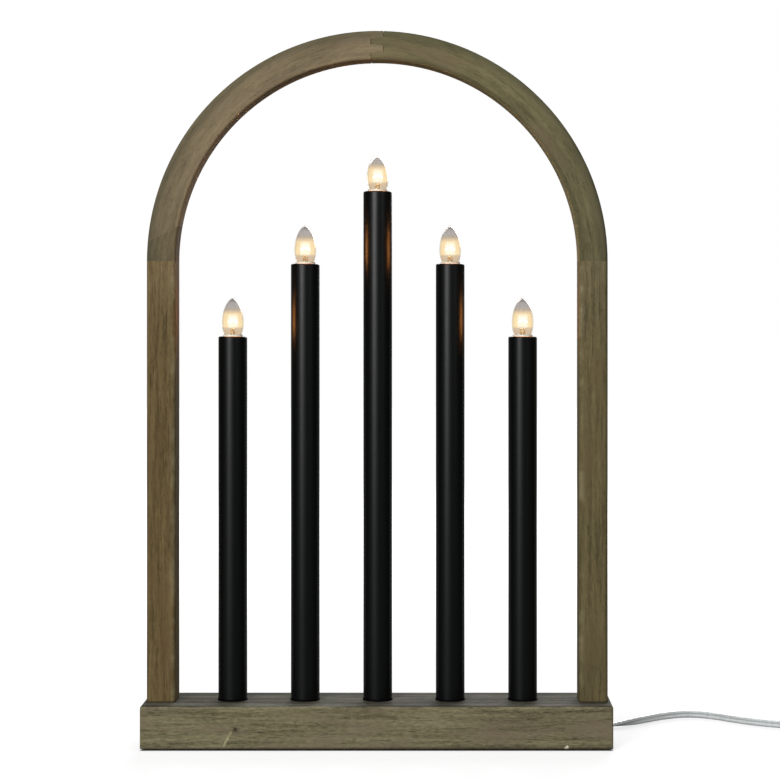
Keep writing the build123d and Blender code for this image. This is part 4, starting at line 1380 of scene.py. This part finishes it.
shade = tint(tree, noise(tree, place, paper_waves), sheet_dark, sheet_light)
feed(tree, shader, Base_Color=tint(tree, seen, sheet_unseen, shade))
past_end = calc(tree, "SUBTRACT", calc(tree, "ABSOLUTE", apart[0]), base_end)
past_front = calc(tree, "SUBTRACT", calc(tree, "ABSOLUTE", apart[1]), -base_front)
clear_of_base = fade(tree, calc(tree, "MAXIMUM", past_end, past_front), *base_line_fade)
whiter_away = fade(tree, vector_calc(tree, "LENGTH", place), *away_range, *away_shares)
lift = calc(tree, "MULTIPLY", calc(tree, "MULTIPLY", seen, clear_of_base), whiter_away)
white = add(tree, "ShaderNodeEmission", {"Color": (1, 1, 1, 1), "Strength": lift})
both = add(tree, "ShaderNodeAddShader", {0: shader.outputs[0], 1: white.outputs[0]})
feed(tree, tree.nodes["Material Output"], Surface=both.outputs[0])
floor.data.materials.append(white_sheet)
print("floor reach", floor_reach)

# %% [markdown]
# The world is white for the camera and through glass. Plain surfaces get a quarter of that, and mirror
# rays only a little, most of it from behind the object.

# %% White world
plain_level = 0.25
behind_range, behind_shares = (0.35, 0.95), (0.05, 0.20)
world = bpy.data.worlds.new("studio")
scene.world = world
world.use_nodes = True
tree = world.node_tree
path = add(tree, "ShaderNodeLightPath").outputs
heading = split(tree, add(tree, "ShaderNodeTexCoord").outputs["Generated"])
behind = fade(tree, heading[1], *behind_range, *behind_shares)
mirrored = calc(tree, "MULTIPLY", behind, path["Is Glossy Ray"])
straight = calc(tree, "MAXIMUM", path["Is Camera Ray"], path["Is Transmission Ray"])
plain = calc(tree, "MULTIPLY", path["Is Diffuse Ray"], plain_level)
backdrop = tree.nodes["Background"]
backdrop.inputs["Color"].default_value = (1, 1, 1, 1)
feed(tree, backdrop, Strength=calc(tree, "MAXIMUM", calc(tree, "MAXIMUM", straight, mirrored), plain))
print("world ready")

# %% [markdown]
# Five soft boxes light the object, with places in metres and power in watts. A tall one at the front
# left and a flat one below it make the soft upright gleam on the tubes. A weaker one at the right fills
# the shade, one above lights the arch, and one behind brightens the base's top.


# %% Soft boxes
def soft_box(name, place, aim_height, size, power):
    lamp = bpy.data.lights.new(name, "AREA")
    lamp.shape = "RECTANGLE"
    lamp.size, lamp.size_y = size
    lamp.energy = power
    holder = bpy.data.objects.new(name, lamp)
    holder.location = place
    aim = Vector((0.0, 0.0, aim_height)) - Vector(place)
    holder.rotation_euler = aim.to_track_quat("-Z", "Z").to_euler()
    scene.collection.objects.link(holder)


soft_box("left_box", (-0.80, -1.75, 1.15), aim_height=0.30, size=(0.75, 1.1), power=12.0)
soft_box("low_box", (-0.72, -1.62, 0.62), aim_height=0.40, size=(0.80, 0.36), power=21.0)
soft_box("right_box", (1.5, -1.7, 1.1), aim_height=0.30, size=(0.9, 0.9), power=8.0)
soft_box("top_box", (-0.2, -0.4, 2.0), aim_height=0.2, size=(1.4, 1.0), power=7.0)
soft_box("back_box", (0.3, 1.9, 1.1), aim_height=0.2, size=(1.4, 1.2), power=32.0)
print("stage ready")
